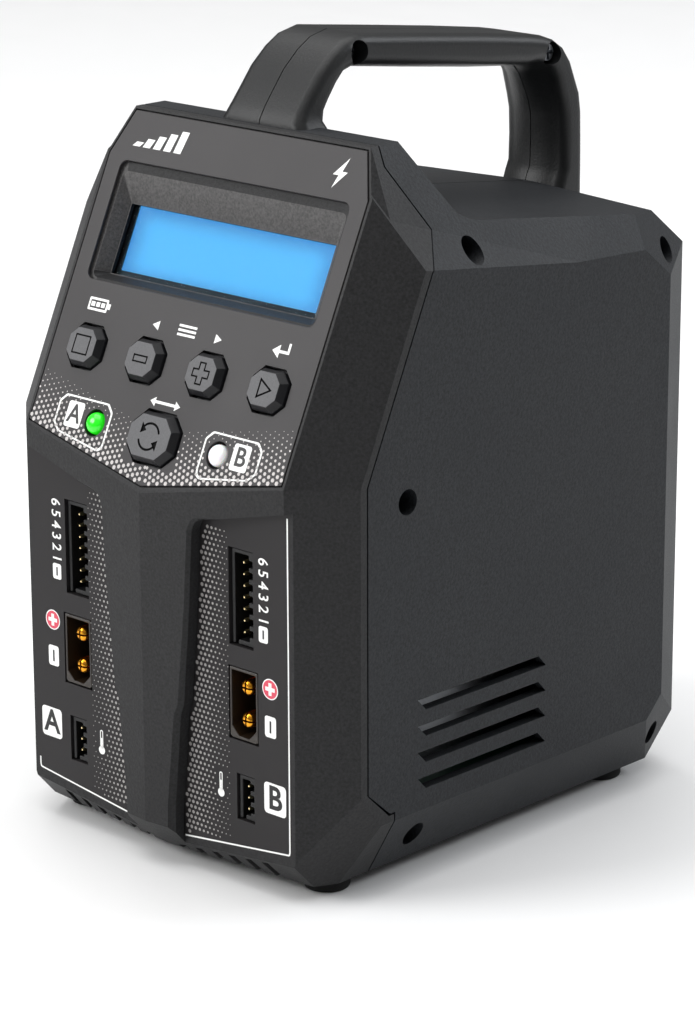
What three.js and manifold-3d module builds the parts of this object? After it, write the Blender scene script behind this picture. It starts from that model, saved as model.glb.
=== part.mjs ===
// Two-channel balance battery charger with a carry handle.
// Millimetres, +Z up, front towards -Y. The origin is under the middle of the bounding box.
import * as THREE from 'three';
import { mergeVertices } from 'three/addons/utils/BufferGeometryUtils.js';
import Module from 'manifold-3d';

const wasm = await Module();
wasm.setup();

// ---------- driving dimensions ----------
// The model is laid out with y measured back from the nose; a group centres it at the end.
const DEPTH = 132.5;            // nose ridge to rear ridge
const HALF_WIDTH = 50;          // to the flat side faces
const EDGE_X = 42.4;            // where the chamfer band meets top, rear and bottom
const BASE_Z = 3;               // underside of the case above the feet
const WALL = 2.4;
const GAP = 0.3;                // clearance between pieces that touch
const PROW_X = 38.5;            // half width of the front faces
const PROW_Y = 3.5;             // how far the outer front edges stand back from the nose
const PANEL_Z = 89.8;           // height where the control panel leaves the front edges
const PANEL_TILT = 25 * Math.PI / 180;
const CORNER_Y = 13.7;          // rear end of the front corner facets
const HUMP_TOP_Z = 154.3;
const HUMP_REAR_Y = 41.8;
const REAR_SLOPE = 0.18;        // plan slope of the two rear faces
const HANDLE_HALF = 9.5;        // half width of the handle strap
const PORT_FLOOR_Y = 4.7;       // face of the recessed port panels
const PANEL_THICK = 1.2;
const KEY_TRAVEL = 0.8;
const FLANGE_W = -4;            // underside of a key's flange, below the panel face
const KEY_X = [-27, -9, 9, 27];
const KEY_V = 18.6;             // key row, up the panel from its corner line
const CHANNEL_V = 3.4;
const LIGHT_X = 18.3;
const SCREW_SPOTS = [[50, 132.4], [113.9, 121.9], [33.5, 9.7], [113.5, 10.6], [27.6, 84.4]];
const HANDLE_SCREWS = [[55.4, 168], [119.8, 159.7]];
const FEET = [[36, 18], [36, 107]];
const PORT_BOARD_Y = 14.9;
const MAIN_BOARD_Z = 16;
const REAR_FACE_Y = 124.8;      // outer face of the rear panel
const FAN_Z = 86;
const SIDES = [1, -1];

// ---------- small helpers ----------
const vec = (x, y, z) => new THREE.Vector3(x, y, z);

function toSolid(geometry) {
  const plain = geometry.index ? geometry : geometry.clone();
  plain.deleteAttribute('normal');
  plain.deleteAttribute('uv');
  const merged = mergeVertices(plain, 1e-4);
  const mesh = new wasm.Mesh({
    numProp: 3,
    vertProperties: Float32Array.from(merged.attributes.position.array),
    triVerts: Uint32Array.from(merged.index.array),
  });
  return new wasm.Manifold(mesh);
}

function toGeometry(solid) {
  const mesh = solid.getMesh();
  const geometry = new THREE.BufferGeometry();
  geometry.setAttribute('position', new THREE.BufferAttribute(Float32Array.from(mesh.vertProperties), 3));
  geometry.setIndex(new THREE.BufferAttribute(Uint32Array.from(mesh.triVerts), 1));
  geometry.computeVertexNormals();
  return geometry;
}

function outline(points, holes = []) {
  const shape = new THREE.Shape(points.map(([u, v]) => new THREE.Vector2(u, v)));
  for (const hole of holes) {
    shape.holes.push(new THREE.Path(hole.map(([u, v]) => new THREE.Vector2(u, v))));
  }
  return shape;
}

// Prisms: the outline is drawn in the two axes other than the extrusion axis.
function extrude(points, length, matrix, holes) {
  const geometry = new THREE.ExtrudeGeometry(outline(points, holes), { depth: length, bevelEnabled: false });
  return toSolid(geometry.applyMatrix4(matrix));
}

function prismX(points, x0, x1, holes) {
  const axes = new THREE.Matrix4().makeBasis(vec(0, 1, 0), vec(0, 0, 1), vec(1, 0, 0));
  return extrude(points, x1 - x0, axes.setPosition(x0, 0, 0), holes);
}

function prismY(points, y0, y1, holes) {
  const axes = new THREE.Matrix4().makeBasis(vec(1, 0, 0), vec(0, 0, 1), vec(0, -1, 0));
  return extrude(points, y1 - y0, axes.setPosition(0, y1, 0), holes);
}

function block(x0, x1, y0, y1, z0, z1) {
  const box = new THREE.BoxGeometry(x1 - x0, y1 - y0, z1 - z0);
  return toSolid(box.translate((x0 + x1) / 2, (y0 + y1) / 2, (z0 + z1) / 2));
}

function rect(u0, u1, v0, v1) {
  return [[u0, v0], [u1, v0], [u1, v1], [u0, v1]];
}

function ring(u, v, radius, count, start = 0) {
  const points = [];
  for (let i = 0; i < count; i += 1) {
    const angle = start + 2 * Math.PI * i / count;
    points.push([u + radius * Math.cos(angle), v + radius * Math.sin(angle)]);
  }
  return points;
}

function octagon(u, v, width, height, cut) {
  const a = width / 2;
  const b = height / 2;
  const corners = [[a, b - cut], [a - cut, b], [cut - a, b], [-a, b - cut],
    [-a, cut - b], [cut - a, -b], [a - cut, -b], [a, cut - b]];
  return corners.map(([p, q]) => [u + p, v + q]);
}

// Moves every side of a counter-clockwise outline outwards by the same amount.
function grow(points, by) {
  const count = points.length;
  return points.map(([u, v], i) => {
    const [pu, pv] = points[(i + count - 1) % count];
    const [nu, nv] = points[(i + 1) % count];
    const before = new THREE.Vector2(v - pv, pu - u).normalize();
    const after = new THREE.Vector2(nv - v, u - nu).normalize();
    const scale = by / (1 + before.dot(after));
    return [u + (before.x + after.x) * scale, v + (before.y + after.y) * scale];
  });
}

function join(first, ...others) {
  return others.reduce((sum, solid) => sum.add(solid), first);
}

function cut(first, ...others) {
  return others.reduce((rest, solid) => rest.subtract(solid), first);
}

const mirrored = ([x, y, z]) => [-x, y, z];

// ---------- panel frame: u to the right, v up the panel, w out of its face ----------
const PANEL_UP = vec(0, Math.sin(PANEL_TILT), Math.cos(PANEL_TILT));
const PANEL_OUT = vec(0, -Math.cos(PANEL_TILT), Math.sin(PANEL_TILT));
const PANEL_FRAME = new THREE.Matrix4().makeBasis(vec(1, 0, 0), PANEL_UP, PANEL_OUT)
  .setPosition(0, PROW_Y, PANEL_Z);

function panelPrism(points, w0, w1, holes) {
  const shift = new THREE.Matrix4().makeTranslation(0, 0, w0);
  return extrude(points, w1 - w0, new THREE.Matrix4().multiplyMatrices(PANEL_FRAME, shift), holes);
}

// A closed body through a stack of outlines [points, w], all with the same number of corners.
function panelLoft(sections) {
  const count = sections[0][0].length;
  const corners = sections.flatMap(([points, w]) => points.map(([u, v]) => [u, v, w]));
  const last = count * (sections.length - 1);
  const faces = [];
  for (let level = 0; level < last; level += count) {
    for (let i = 0; i < count; i += 1) {
      const a = level + i;
      const b = level + (i + 1) % count;
      faces.push(a, b, b + count, a, b + count, a + count);
    }
  }
  for (let i = 1; i < count - 1; i += 1) {
    faces.push(0, i + 1, i, last, last + i, last + i + 1);
  }
  const geometry = new THREE.BufferGeometry();
  geometry.setAttribute('position', new THREE.Float32BufferAttribute(corners.flat(), 3));
  geometry.setIndex(faces);
  return toSolid(geometry.applyMatrix4(PANEL_FRAME));
}

// ---------- the outer form: flat facets, each through three points ----------
const slopeTop = (y) => 136.3 + 0.125 * (63.9 - y);
const rearLine = (y, z) => [[EDGE_X, y, z], [0, y + REAR_SLOPE * EDGE_X, z]];

const TOP_BAND_FACET = [[HALF_WIDTH, 35.2, 131.1], [HALF_WIDTH, 105.4, 122], [EDGE_X, 63.9, slopeTop(63.9)]];
const WALL_FACETS = [
  [[HALF_WIDTH, 0, 0], [HALF_WIDTH, 1, 0], [HALF_WIDTH, 0, 1]],                          // side
  [[0, 0, 0], [PROW_X, PROW_Y, 0], [0, 0, 1]],                                           // front face
  [[PROW_X, PROW_Y, 0], [HALF_WIDTH, CORNER_Y, 0], [PROW_X, PROW_Y, 1]],                 // front corner
  [[PROW_X, PROW_Y, PANEL_Z], [HALF_WIDTH, CORNER_Y, PANEL_Z], [HALF_WIDTH, 32.6, 130.7]], // panel corner
  [[HALF_WIDTH, 105.4, 122], [HALF_WIDTH, 111.4, 117.3], [EDGE_X, 119.2, 125.8]],        // rear top corner band
  [[HALF_WIDTH, 111.4, 0], [EDGE_X, 124.9, 0], [EDGE_X, 124.9, 1]],                      // rear band
  [[HALF_WIDTH, 111.4, 21.5], [HALF_WIDTH, 106.3, 16.5], [EDGE_X, 120.2, 7.6]],          // rear bottom corner band
  [[HALF_WIDTH, 0, 16.5], [HALF_WIDTH, 1, 16.5], [EDGE_X, 0, BASE_Z]],                   // bottom band
  [[EDGE_X, 124.9, 0], [EDGE_X, 124.9, 1], [0, 124.9 + REAR_SLOPE * EDGE_X, 0]],         // rear face
  [[EDGE_X, 113.6, 130.1], [EDGE_X, 124.9, 121.4], rearLine(113.6, 130.1)[1]],           // rear top chamfer
  [[EDGE_X, 124.9, 12.3], [EDGE_X, 115.6, BASE_Z], rearLine(115.6, BASE_Z)[1]],          // rear bottom chamfer
  [[0, 0, 9.8], [PROW_X, 0, 9.8 + 0.1 * PROW_X], [0, 6.3, BASE_Z]],                      // chin
  [[40.2, 4.6, 10.6], [50.4, 14.2, 24.4], [49.4, 18.6, 16.2]],                           // lower front corner
];
const SHARED_FACETS = [TOP_BAND_FACET, ...WALL_FACETS];
const PANEL_FACET = [[0, PROW_Y, PANEL_Z], [1, PROW_Y, PANEL_Z],
  [0, PROW_Y + Math.sin(PANEL_TILT), PANEL_Z + Math.cos(PANEL_TILT)]];
const TOP_FACET = [[EDGE_X, 63.9, slopeTop(63.9)], [EDGE_X, 113.6, slopeTop(113.6)], [0, 63.9, slopeTop(63.9) + 0.6]];
const HUMP_SIDE_FACET = [[PROW_X, 28.9, 144.7], [44.2, 30.9, 137.9], [34.3, 33.6, HUMP_TOP_Z]];
const HUMP_SHOULDER_FACET = [[34.3, 33.6, HUMP_TOP_Z], [34.1, 41.6, HUMP_TOP_Z], [43.8, 41.3, 137.6]];
const HUMP_REAR_FACET = [[0, HUMP_REAR_Y, HUMP_TOP_Z], [1, HUMP_REAR_Y, HUMP_TOP_Z], [0, 50.2, 139.6]];
const CORE = vec(0, 45, 70);    // a point inside every facet

// Cuts away what lies outside a facet moved inwards by inset.
function shave(solid, points, inset) {
  const [a, b, c] = points.map((p) => vec(...p));
  const out = vec(0, 0, 0).crossVectors(b.clone().sub(a), c.clone().sub(a)).normalize();
  if (out.dot(CORE.clone().sub(a)) > 0) {
    out.negate();
  }
  const reach = 400;
  const turn = new THREE.Quaternion().setFromUnitVectors(vec(0, 0, 1), out);
  const centre = a.clone().addScaledVector(out, reach / 2 - inset);
  const waste = new THREE.BoxGeometry(2 * reach, 2 * reach, reach)
    .applyQuaternion(turn)
    .translate(...centre.toArray());
  return solid.subtract(toSolid(waste));
}

function facetedForm(facets, z1, inset) {
  let solid = block(-60, 60, -20, 160, BASE_Z + inset, z1 - inset);
  for (const points of facets) {
    solid = shave(solid, points, inset);
    solid = shave(solid, points.map(mirrored), inset);
  }
  return solid;
}

function caseForm(inset) {
  const main = facetedForm([...SHARED_FACETS, PANEL_FACET, TOP_FACET], 160, inset);
  const humpFacets = [...WALL_FACETS, PANEL_FACET, HUMP_SIDE_FACET, HUMP_SHOULDER_FACET, HUMP_REAR_FACET];
  const hump = facetedForm(humpFacets, HUMP_TOP_Z, inset);
  let fillet = prismX([[46, 134], [60, 134], [60, slopeTop(60) - inset], [53.6, slopeTop(53.6) + 0.3 - inset],
    [50.6 - inset, 139.3 - inset], [46, 142]], -48, 48);
  fillet = shave(shave(fillet, TOP_BAND_FACET, inset), TOP_BAND_FACET.map(mirrored), inset);
  return join(main, hump, fillet);
}

// ---------- seam between the front bezel and the two half shells ----------
const STEP_Z = 18.2;
const SEAM = [[23.7, -5], [23.7, STEP_Z], [22.2, STEP_Z], [15.7, 24.1], [15.7, PANEL_Z],
  [34.9, 130.7], [41.3, 137.6], [35.2, 150.3], [35.9, 154.3], [35.9, 180]];
const seamMoved = (by) => SEAM.map(([y, z]) => [y + by, z === STEP_Z ? z + by : z]);
const frontOfSeam = prismX([[-30, -5], ...seamMoved(-GAP / 2), [-30, 180]], -70, 70);
const behindSeam = prismX([...seamMoved(GAP / 2), [170, 180], [170, -5]], -70, 70);

const outerForm = caseForm(0);
const innerForm = caseForm(WALL);
const caseWall = outerForm.subtract(innerForm);

// ---------- handle strap: one outline, split down the middle ----------
const HANDLE_OUTER = [[36.4, 150], [36.4, 155], [40.2, 160.6], [43.7, 164.9], [48, 168.6], [52, 170.9], [57, 171.9],
  [96.6, 166.9], [117, 164], [121, 162.7], [124.3, 160.6], [126.8, 157.6], [130.2, 149.6], [131, 145.4],
  [131, 112]];
const HANDLE_INNER = [[123, 112], [123, 144.6], [120.9, 150], [118.7, 154.4], [116.6, 156.6], [113.6, 157.9],
  [100, 159.7], [57, 165], [54.4, 165], [51.9, 163.6], [49, 160.6], [45.8, 156.4], [43.2, 150]];
const handleOutline = [...HANDLE_OUTER, ...HANDLE_INNER].reverse();

function tubeX(y, z, radius, x0, x1, sides = 16) {
  return prismX(ring(y, z, radius, sides), Math.min(x0, x1), Math.max(x0, x1));
}

function tubeZ(x, y, radius, z0, z1, sides = 16) {
  const shape = new THREE.ExtrudeGeometry(outline(ring(x, y, radius, sides)), { depth: z1 - z0, bevelEnabled: false });
  return toSolid(shape.translate(0, 0, z0));
}

const SIDE_VENT_TOPS = [41, 35.2, 29.4, 23.6];

function sideVents(side) {
  const slots = SIDE_VENT_TOPS.map((top) => prismX(
    [[30.8, top], [33.3, top - 2.6], [71.5, top - 2.6], [69, top]],
    side > 0 ? 40 : -60,
    side > 0 ? 60 : -40,
  ));
  return join(...slots);
}

// The half shell with its half of the handle and the screw bosses that meet at the middle.
function halfShell(side) {
  const span = (a, b) => (side > 0 ? [a, b] : [-b, -a]);
  const half = block(...span(GAP / 2, 70), -10, 150, -5, 190);
  const handle = prismX(handleOutline, ...span(GAP / 2, HANDLE_HALF)).subtract(innerForm);
  let shell = join(caseWall, handle).intersect(half).intersect(behindSeam);
  for (const [y, z] of SCREW_SPOTS) {
    const boss = tubeX(y, z, 4.7, side * GAP / 2, side * 49.5).intersect(outerForm);
    shell = shell.add(boss);
  }
  for (const y of [30, 92]) {
    shell = shell.add(block(...span(44, 49), y, y + 8, 12.4, MAIN_BOARD_Z - GAP).intersect(outerForm));
  }
  for (const z of [30, 98]) {
    shell = shell.add(block(...span(25, 46), 119, REAR_FACE_Y - 2 - GAP, z, z + 4).intersect(outerForm));
  }
  shell = cut(shell, sideVents(side), rearOpening);
  for (const [y, z] of [...SCREW_SPOTS, ...HANDLE_SCREWS]) {
    const inHandle = z > 145;
    const seat = inHandle ? 5 : 12;
    const head = inHandle ? 2.2 : 2.7;
    shell = shell.subtract(tubeX(y, z, 1.8, side > 0 ? -1 : 0, side > 0 ? 60 : (inHandle ? -6 : -14)));
    if (side > 0) {
      shell = shell.subtract(tubeX(y, z, head, seat, 60));
    }
  }
  const [footX, footY] = FEET[1];
  return shell.subtract(tubeZ(side * footX, footY, 1.8, -1, BASE_Z + WALL + 1));
}

const rearOpening = block(-24, 24, 110, 140, 17, 108);

// ---------- front bezel ----------
// Half outlines seen from the front, for the right-hand side.
const NOSE_EDGE = [[9.4, 35.6], [10.4, 38], [12.4, 60], [13.2, 74.6], [14.3, 77.4], [16.4, 79.2]];
const POCKET = [[6.9, -5], [7.4, 15], ...NOSE_EDGE, [38.3, 84.6], [45, 86.4], [45, -5]].reverse();
const PORT_PLATE = [[7.7, 7.6], [7.9, 15], [9.9, 35.4], [10.9, 37.8], [12.9, 60], [13.7, 74.4], [14.7, 76.9],
  [16.7, 78.6], [38.5, 84], [38.5, 11.2]].reverse();
const LCD_OUTER = rect(-32.8, 32.8, 33.2, 59.1);
const LCD_INNER = rect(-29.8, 29.8, 35.5, 51);
const LCD_DEPTH = 3.7;
const OVERLAY = [[-37.7, 0.4], [0, -7.1], [37.7, 0.4], [37.9, 60.4], [33.9, 70.4], [-33.9, 70.4], [-37.9, 60.4]];
const CHIN_VENT_START = 10.5;
const CHIN_VENT_PITCH = 5;

const BALANCE = { x: 24.8, z: 63.8, w: 6.4, h: 20.4, pins: 7 };
const OUTPUT = { x: 25.2, z: 40.7, w: 8, h: 15.4 };
const TEMP = { x: 25.6, z: 20.3, w: 4.6, h: 9.6, pins: 3 };

function portHole(side, port, slack) {
  const x = side * port.x;
  return rect(x - port.w / 2 - slack, x + port.w / 2 + slack, port.z - port.h / 2 - slack, port.z + port.h / 2 + slack);
}

function mirrorOutline(points, side) {
  return side > 0 ? points : points.map(([u, v]) => [-u, v]).reverse();
}

function chinVents(side) {
  const slots = [];
  for (let i = 0; i < 6; i += 1) {
    const x = CHIN_VENT_START + CHIN_VENT_PITCH * i;
    const slot = [[x, 5.2 + 0.1 * x], [x + 1.6, 5.2 + 0.1 * x], [x + 3.4, 8 + 0.1 * x], [x + 1.8, 8 + 0.1 * x]];
    const geometry = new THREE.ExtrudeGeometry(outline(mirrorOutline(slot, side)), { depth: 18, bevelEnabled: false });
    slots.push(toSolid(geometry.translate(0, 0, -6)));
  }
  return join(...slots);
}

// Posts that carry the key board and the display board.
function bezelPosts() {
  const posts = [];
  for (const side of SIDES) {
    for (const [u, v] of [[31.5, 8], [18, 24.4]]) {
      posts.push(panelPrism(ring(side * u, v, 1.9, 10), -7.7, -1.5));
    }
    for (const v of [33.4, 57.4]) {
      posts.push(panelPrism(ring(side * 33.4, v, 1.3, 10), -8.5, -1.5));
    }
  }
  return posts;
}

// Tongues that slide inside the side walls of the half shells.
function bezelTongues(side) {
  const span = (a, b) => (side > 0 ? [a, b] : [-b, -a]);
  const tongues = [];
  for (const z of [34, 62]) {
    tongues.push(block(...span(44.8, 49), 10.5, 15.4, z, z + 14), block(...span(44.8, 47.3), 10.5, 24, z, z + 14));
  }
  return join(...tongues).intersect(outerForm);
}

function frontBezel() {
  let bezel = caseWall.intersect(frontOfSeam);
  const lcdFrame = panelPrism(rect(-35, 35, 31, 61), -LCD_DEPTH, -0.6).intersect(outerForm);
  const backY = PORT_FLOOR_Y + PANEL_THICK + GAP + 2;
  const backing = cut(block(-46, 46, 1, backY, 0, 87), block(-11, 11, 0, 20, 80, 90)).intersect(outerForm);
  bezel = join(bezel, lcdFrame, backing, ...bezelPosts(), ...SIDES.map(bezelTongues));
  bezel = cut(bezel, panelPrism(OVERLAY, -0.9, 3), panelLoft([[LCD_INNER, -LCD_DEPTH], [LCD_OUTER, 0]]));
  bezel = cut(bezel, panelPrism(LCD_INNER, -6, -LCD_DEPTH + 0.1));
  for (const x of KEY_X) {
    bezel = bezel.subtract(panelPrism(octagon(x, KEY_V, 10.8, 9.8, 2.5), -8, 2));
  }
  bezel = bezel.subtract(panelPrism(octagon(0, CHANNEL_V, 14.6, 11.6, 3.2), -8, 2));
  for (const side of SIDES) {
    const recess = mirrorOutline(grow(PORT_PLATE, GAP), side);
    bezel = bezel.subtract(panelPrism(ring(side * LIGHT_X, CHANNEL_V, 2.9, 16), -8, 2));
    bezel = bezel.subtract(prismY(mirrorOutline(POCKET, side), -5, PORT_FLOOR_Y));
    bezel = bezel.subtract(prismY(recess, -5, PORT_FLOOR_Y + PANEL_THICK + GAP));
    for (const port of [BALANCE, OUTPUT, TEMP]) {
      bezel = bezel.subtract(prismY(portHole(side, port, GAP), 0, 12));
    }
    bezel = cut(bezel, chinVents(side), tubeZ(side * FEET[0][0], FEET[0][1], 1.8, -1, BASE_Z + WALL + 1));
  }
  return bezel.intersect(frontOfSeam);
}

function overlay() {
  const holes = [LCD_OUTER.map(([u, v]) => [u * 1.006, v + Math.sign(v - 45) * 0.2])];
  for (const x of KEY_X) {
    holes.push(octagon(x, KEY_V, 11, 10, 2.6));
  }
  holes.push(octagon(0, CHANNEL_V, 14.8, 11.8, 3.3));
  for (const side of SIDES) {
    holes.push(ring(side * LIGHT_X, CHANNEL_V, 3, 16));
  }
  const inset = OVERLAY.map(([u, v]) => [u * 0.992, (v - 30) * 0.992 + 30]);
  return panelPrism(inset, -0.6, 0, holes);
}

// ---------- controls ----------
function keycap(x, v, width, height, corner) {
  const flange = octagon(x, v, width + 2.4, height + 2.4, corner + 0.7);
  const skirt = octagon(x, v, width, height, corner);
  const crown = octagon(x, v, width - 1.6, height - 1.6, corner - 0.4);
  return panelLoft([[flange, FLANGE_W], [flange, -2.7], [skirt, -2.7], [skirt, 0.4], [crown, 1.3]]);
}

function lightGuide(side) {
  const profile = [[0, 0], [2.5, 0], [2.5, 7.2], [2.2, 7.8], [1.3, 8.3], [0, 8.5]];
  const shape = new THREE.LatheGeometry(profile.map(([r, h]) => new THREE.Vector2(r, h)), 16);
  const upright = new THREE.Matrix4().makeBasis(vec(1, 0, 0), vec(0, 0, 1), vec(0, -1, 0))
    .setPosition(side * LIGHT_X, CHANNEL_V, -7.5);
  return toSolid(shape.applyMatrix4(new THREE.Matrix4().multiplyMatrices(PANEL_FRAME, upright)));
}

// ---------- ports ----------
function portPanel(side) {
  const holes = [BALANCE, OUTPUT, TEMP].map((port) => portHole(side, port, GAP));
  return prismY(mirrorOutline(PORT_PLATE, side), PORT_FLOOR_Y, PORT_FLOOR_Y + PANEL_THICK, holes);
}

function balancePort(side) {
  const x = side * BALANCE.x;
  const body = prismY(portHole(side, BALANCE, 0), PORT_FLOOR_Y, 14.6);
  const cavity = prismY(rect(x - 2.3, x + 2.3, BALANCE.z - 9.2, BALANCE.z + 9.2), 0, 13.4);
  const keyways = [-5, 0, 5].map((dz) => prismY(
    rect(x + side * 2.3 - 0.95, x + side * 2.3 + 0.95, BALANCE.z + dz - 0.8, BALANCE.z + dz + 0.8), 0, 9,
  ));
  return cut(body, cavity, ...keyways);
}

// Square pins on a carrier strip at the bottom of the housing.
function pinComb(side, port, pitch, tip) {
  const x = side * port.x;
  const reach = pitch * (port.pins - 1) / 2;
  const parts = [block(x - 0.5, x + 0.5, 12.4, 13.1, port.z - reach - 0.5, port.z + reach + 0.5)];
  for (let i = 0; i < port.pins; i += 1) {
    const z = port.z - reach + pitch * i;
    parts.push(block(x - 0.32, x + 0.32, tip, 12.6, z - 0.32, z + 0.32));
  }
  return join(...parts);
}

function outputOutline(x, z, w, h, corner) {
  const a = w / 2;
  const b = h / 2;
  return [[x - a, z + b], [x - a, z - b + corner], [x - a + corner, z - b], [x + a - corner, z - b],
    [x + a, z - b + corner], [x + a, z + b]];
}

function powerSocket(x, z, y0, y1, floor) {
  const open = y0 < y1 ? y0 - 2 : y0 + 2;
  const body = prismY(outputOutline(x, z, 8, 15.4, 0.6), Math.min(y0, y1), Math.max(y0, y1));
  const cavity = prismY(outputOutline(x, z, 6.4, 13.6, 2), Math.min(open, floor), Math.max(open, floor));
  return body.subtract(cavity);
}

function tubeY(x, z, radius, y0, y1, sides = 14) {
  return prismY(ring(x, z, radius, sides), y0, y1);
}

function powerPin(x, z, y0, y1, tipDown) {
  const pin = tubeY(x, z, 1.75, y0, y1);
  const slotDepth = 4;
  const cutY = tipDown ? [y0 - 1, y0 + slotDepth] : [y1 - slotDepth, y1 + 1];
  return pin.subtract(block(x - 2, x + 2, cutY[0], cutY[1], z - 0.3, z + 0.3));
}

function tempPort(side) {
  const x = side * TEMP.x;
  const body = prismY(portHole(side, TEMP, 0), PORT_FLOOR_Y, 14.6);
  const cavity = prismY(rect(x - 1.7, x + 1.7, TEMP.z - 3.6, TEMP.z + 4), 0, 13.4);
  const keyway = prismY(rect(x - side * 0.4 - 1.3, x - side * 0.4 + 1.3, TEMP.z - 4.2, TEMP.z - 3.5), 0, 9);
  return cut(body, cavity, keyway);
}

// ---------- boards and parts inside ----------
function portBoard() {
  return prismY([[-36, 14], [36, 14], [36, 79], [22, 82], [-22, 82], [-36, 79]], PORT_BOARD_Y, PORT_BOARD_Y + 1.6);
}

function keyBoard() {
  let board = panelPrism(rect(-34, 34, -1, 26.5), -9.6, -8);
  for (const [u, v] of [...KEY_X.map((x) => [x, KEY_V]), [0, CHANNEL_V]]) {
    board = board.add(panelPrism(rect(u - 3, u + 3, v - 3, v + 3), -8.1, FLANGE_W - KEY_TRAVEL - GAP));
  }
  return board;
}

function lcdModule() {
  const board = panelPrism(rect(-35, 35, 29, 60.5), -10.4, -8.8);
  const can = panelPrism(rect(-31.5, 31.5, 32, 57), -8.9, -5.4);
  return join(board, can);
}

function mainBoard() {
  return block(-46.4, 46.4, 27, 104, MAIN_BOARD_Z, MAIN_BOARD_Z + 1.6);
}

function heatSink() {
  const outlinePoints = [[8, MAIN_BOARD_Z + 2], [36, MAIN_BOARD_Z + 2]];
  const top = MAIN_BOARD_Z + 34;
  const fins = 6;
  const pitch = 28 / (fins - 0.5);
  for (let i = fins - 1; i >= 0; i -= 1) {
    const x = 8 + pitch * i;
    outlinePoints.push([x + pitch / 2, top], [x, top]);
    if (i > 0) {
      outlinePoints.push([x, MAIN_BOARD_Z + 6], [x - pitch / 2, MAIN_BOARD_Z + 6]);
    }
  }
  return prismY(outlinePoints, 40, 96);
}

function transformer() {
  const base = MAIN_BOARD_Z + 2;
  const core = block(-36, -4, 56, 86, base, base + 28);
  const windows = [block(-30, -10, 50, 90, base + 5, base + 23)];
  const coil = block(-27, -13, 50, 92, base + 2, base + 26);
  return join(cut(core, ...windows), coil);
}

function capacitor(x, y, radius, height) {
  const base = MAIN_BOARD_Z + 2;
  const profile = [[0, 0], [radius, 0], [radius, 2], [radius - 0.6, 2.6], [radius, 3.2], [radius, height - 0.6],
    [radius - 0.6, height], [0, height]];
  const shape = new THREE.LatheGeometry(profile.map(([r, h]) => new THREE.Vector2(r, h)), 18);
  return toSolid(shape.rotateX(Math.PI / 2).translate(x, y, base));
}

// ---------- cooling fan ----------
const FAN_Y = [112, 122.5];
const DUCT_RADIUS = 18.6;
const BLADES = 7;

function fanFrame() {
  const frame = prismY(octagon(0, FAN_Z, 40, 40, 2), FAN_Y[0], FAN_Y[1], [ring(0, FAN_Z, DUCT_RADIUS, 28).reverse()]);
  const post = tubeY(0, FAN_Z, 8.4, FAN_Y[0], FAN_Y[0] + 1.4, 20);
  const arms = [];
  for (let i = 0; i < 3; i += 1) {
    const angle = Math.PI / 2 + 2 * Math.PI * i / 3;
    const arm = new THREE.BoxGeometry(20, 1.4, 3).translate(11, FAN_Y[0] + 0.7, 0).rotateY(-angle);
    arms.push(toSolid(arm.translate(0, 0, FAN_Z)).intersect(tubeY(0, FAN_Z, 19.2, FAN_Y[0], FAN_Y[1], 28)));
  }
  return join(frame, post, ...arms);
}

function fanRotor() {
  const front = FAN_Y[0] + 2;
  const back = FAN_Y[1] - 1;
  const hub = tubeY(0, FAN_Z, 9, front, back, 24);
  const blades = [];
  for (let i = 0; i < BLADES; i += 1) {
    const blade = new THREE.BoxGeometry(10.4, 8.6, 1.2)
      .rotateX(Math.PI / 5)
      .translate(12.7, 0, 0)
      .rotateY(2 * Math.PI * i / BLADES)
      .translate(0, (front + back) / 2, FAN_Z);
    blades.push(toSolid(blade));
  }
  const swept = tubeY(0, FAN_Z, 17.9, front + 0.2, back - 0.2, 28);
  return join(hub, join(...blades).intersect(swept));
}

// ---------- rear panel and its sockets ----------
const AC = { x: -11, z: 38 };
const DC = { x: 13, z: 38 };
const USB = { x: 13, z: 56 };

function rearPanel() {
  const holes = [];
  for (const [inner, outer] of [[4.5, 7.6], [10, 13], [15.2, 18.2]]) {
    for (let i = 0; i < 4; i += 1) {
      const start = Math.PI / 2 * i + 0.16;
      const end = Math.PI / 2 * (i + 1) - 0.16;
      const arc = (radius, from, to) => Array.from({ length: 6 }, (_, k) => {
        const angle = from + (to - from) * k / 5;
        return [radius * Math.cos(angle), FAN_Z + radius * Math.sin(angle)];
      });
      holes.push([...arc(outer, start, end), ...arc(inner, end, start)]);
    }
  }
  holes.push(rect(AC.x - 8.6, AC.x + 8.6, AC.z - 5.1, AC.z + 5.1));
  holes.push(rect(DC.x - 4.3, DC.x + 4.3, DC.z - 8, DC.z + 8));
  holes.push(rect(USB.x - 4.2, USB.x + 4.2, USB.z - 1.8, USB.z + 1.8));
  return prismY(rect(-27, 27, 14.5, 110), REAR_FACE_Y - 2, REAR_FACE_Y, holes);
}

function acInlet() {
  const back = REAR_FACE_Y - 16;
  const body = prismY(rect(AC.x - 8.3, AC.x + 8.3, AC.z - 4.8, AC.z + 4.8), back, REAR_FACE_Y + GAP);
  const flange = prismY(octagon(AC.x, AC.z, 19.6, 13.4, 3), REAR_FACE_Y + GAP, REAR_FACE_Y + 1.8);
  const well = prismY(octagon(AC.x, AC.z, 14.4, 7.8, 2.4), back + 2, REAR_FACE_Y + 3);
  return join(body, flange).subtract(well);
}

function usbPort() {
  const shell = block(USB.x - 3.8, USB.x + 3.8, REAR_FACE_Y - 8, REAR_FACE_Y, USB.z - 1.4, USB.z + 1.4);
  return shell.subtract(block(USB.x - 3.4, USB.x + 3.4, REAR_FACE_Y - 6, REAR_FACE_Y + 1, USB.z - 1, USB.z + 1));
}

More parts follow.
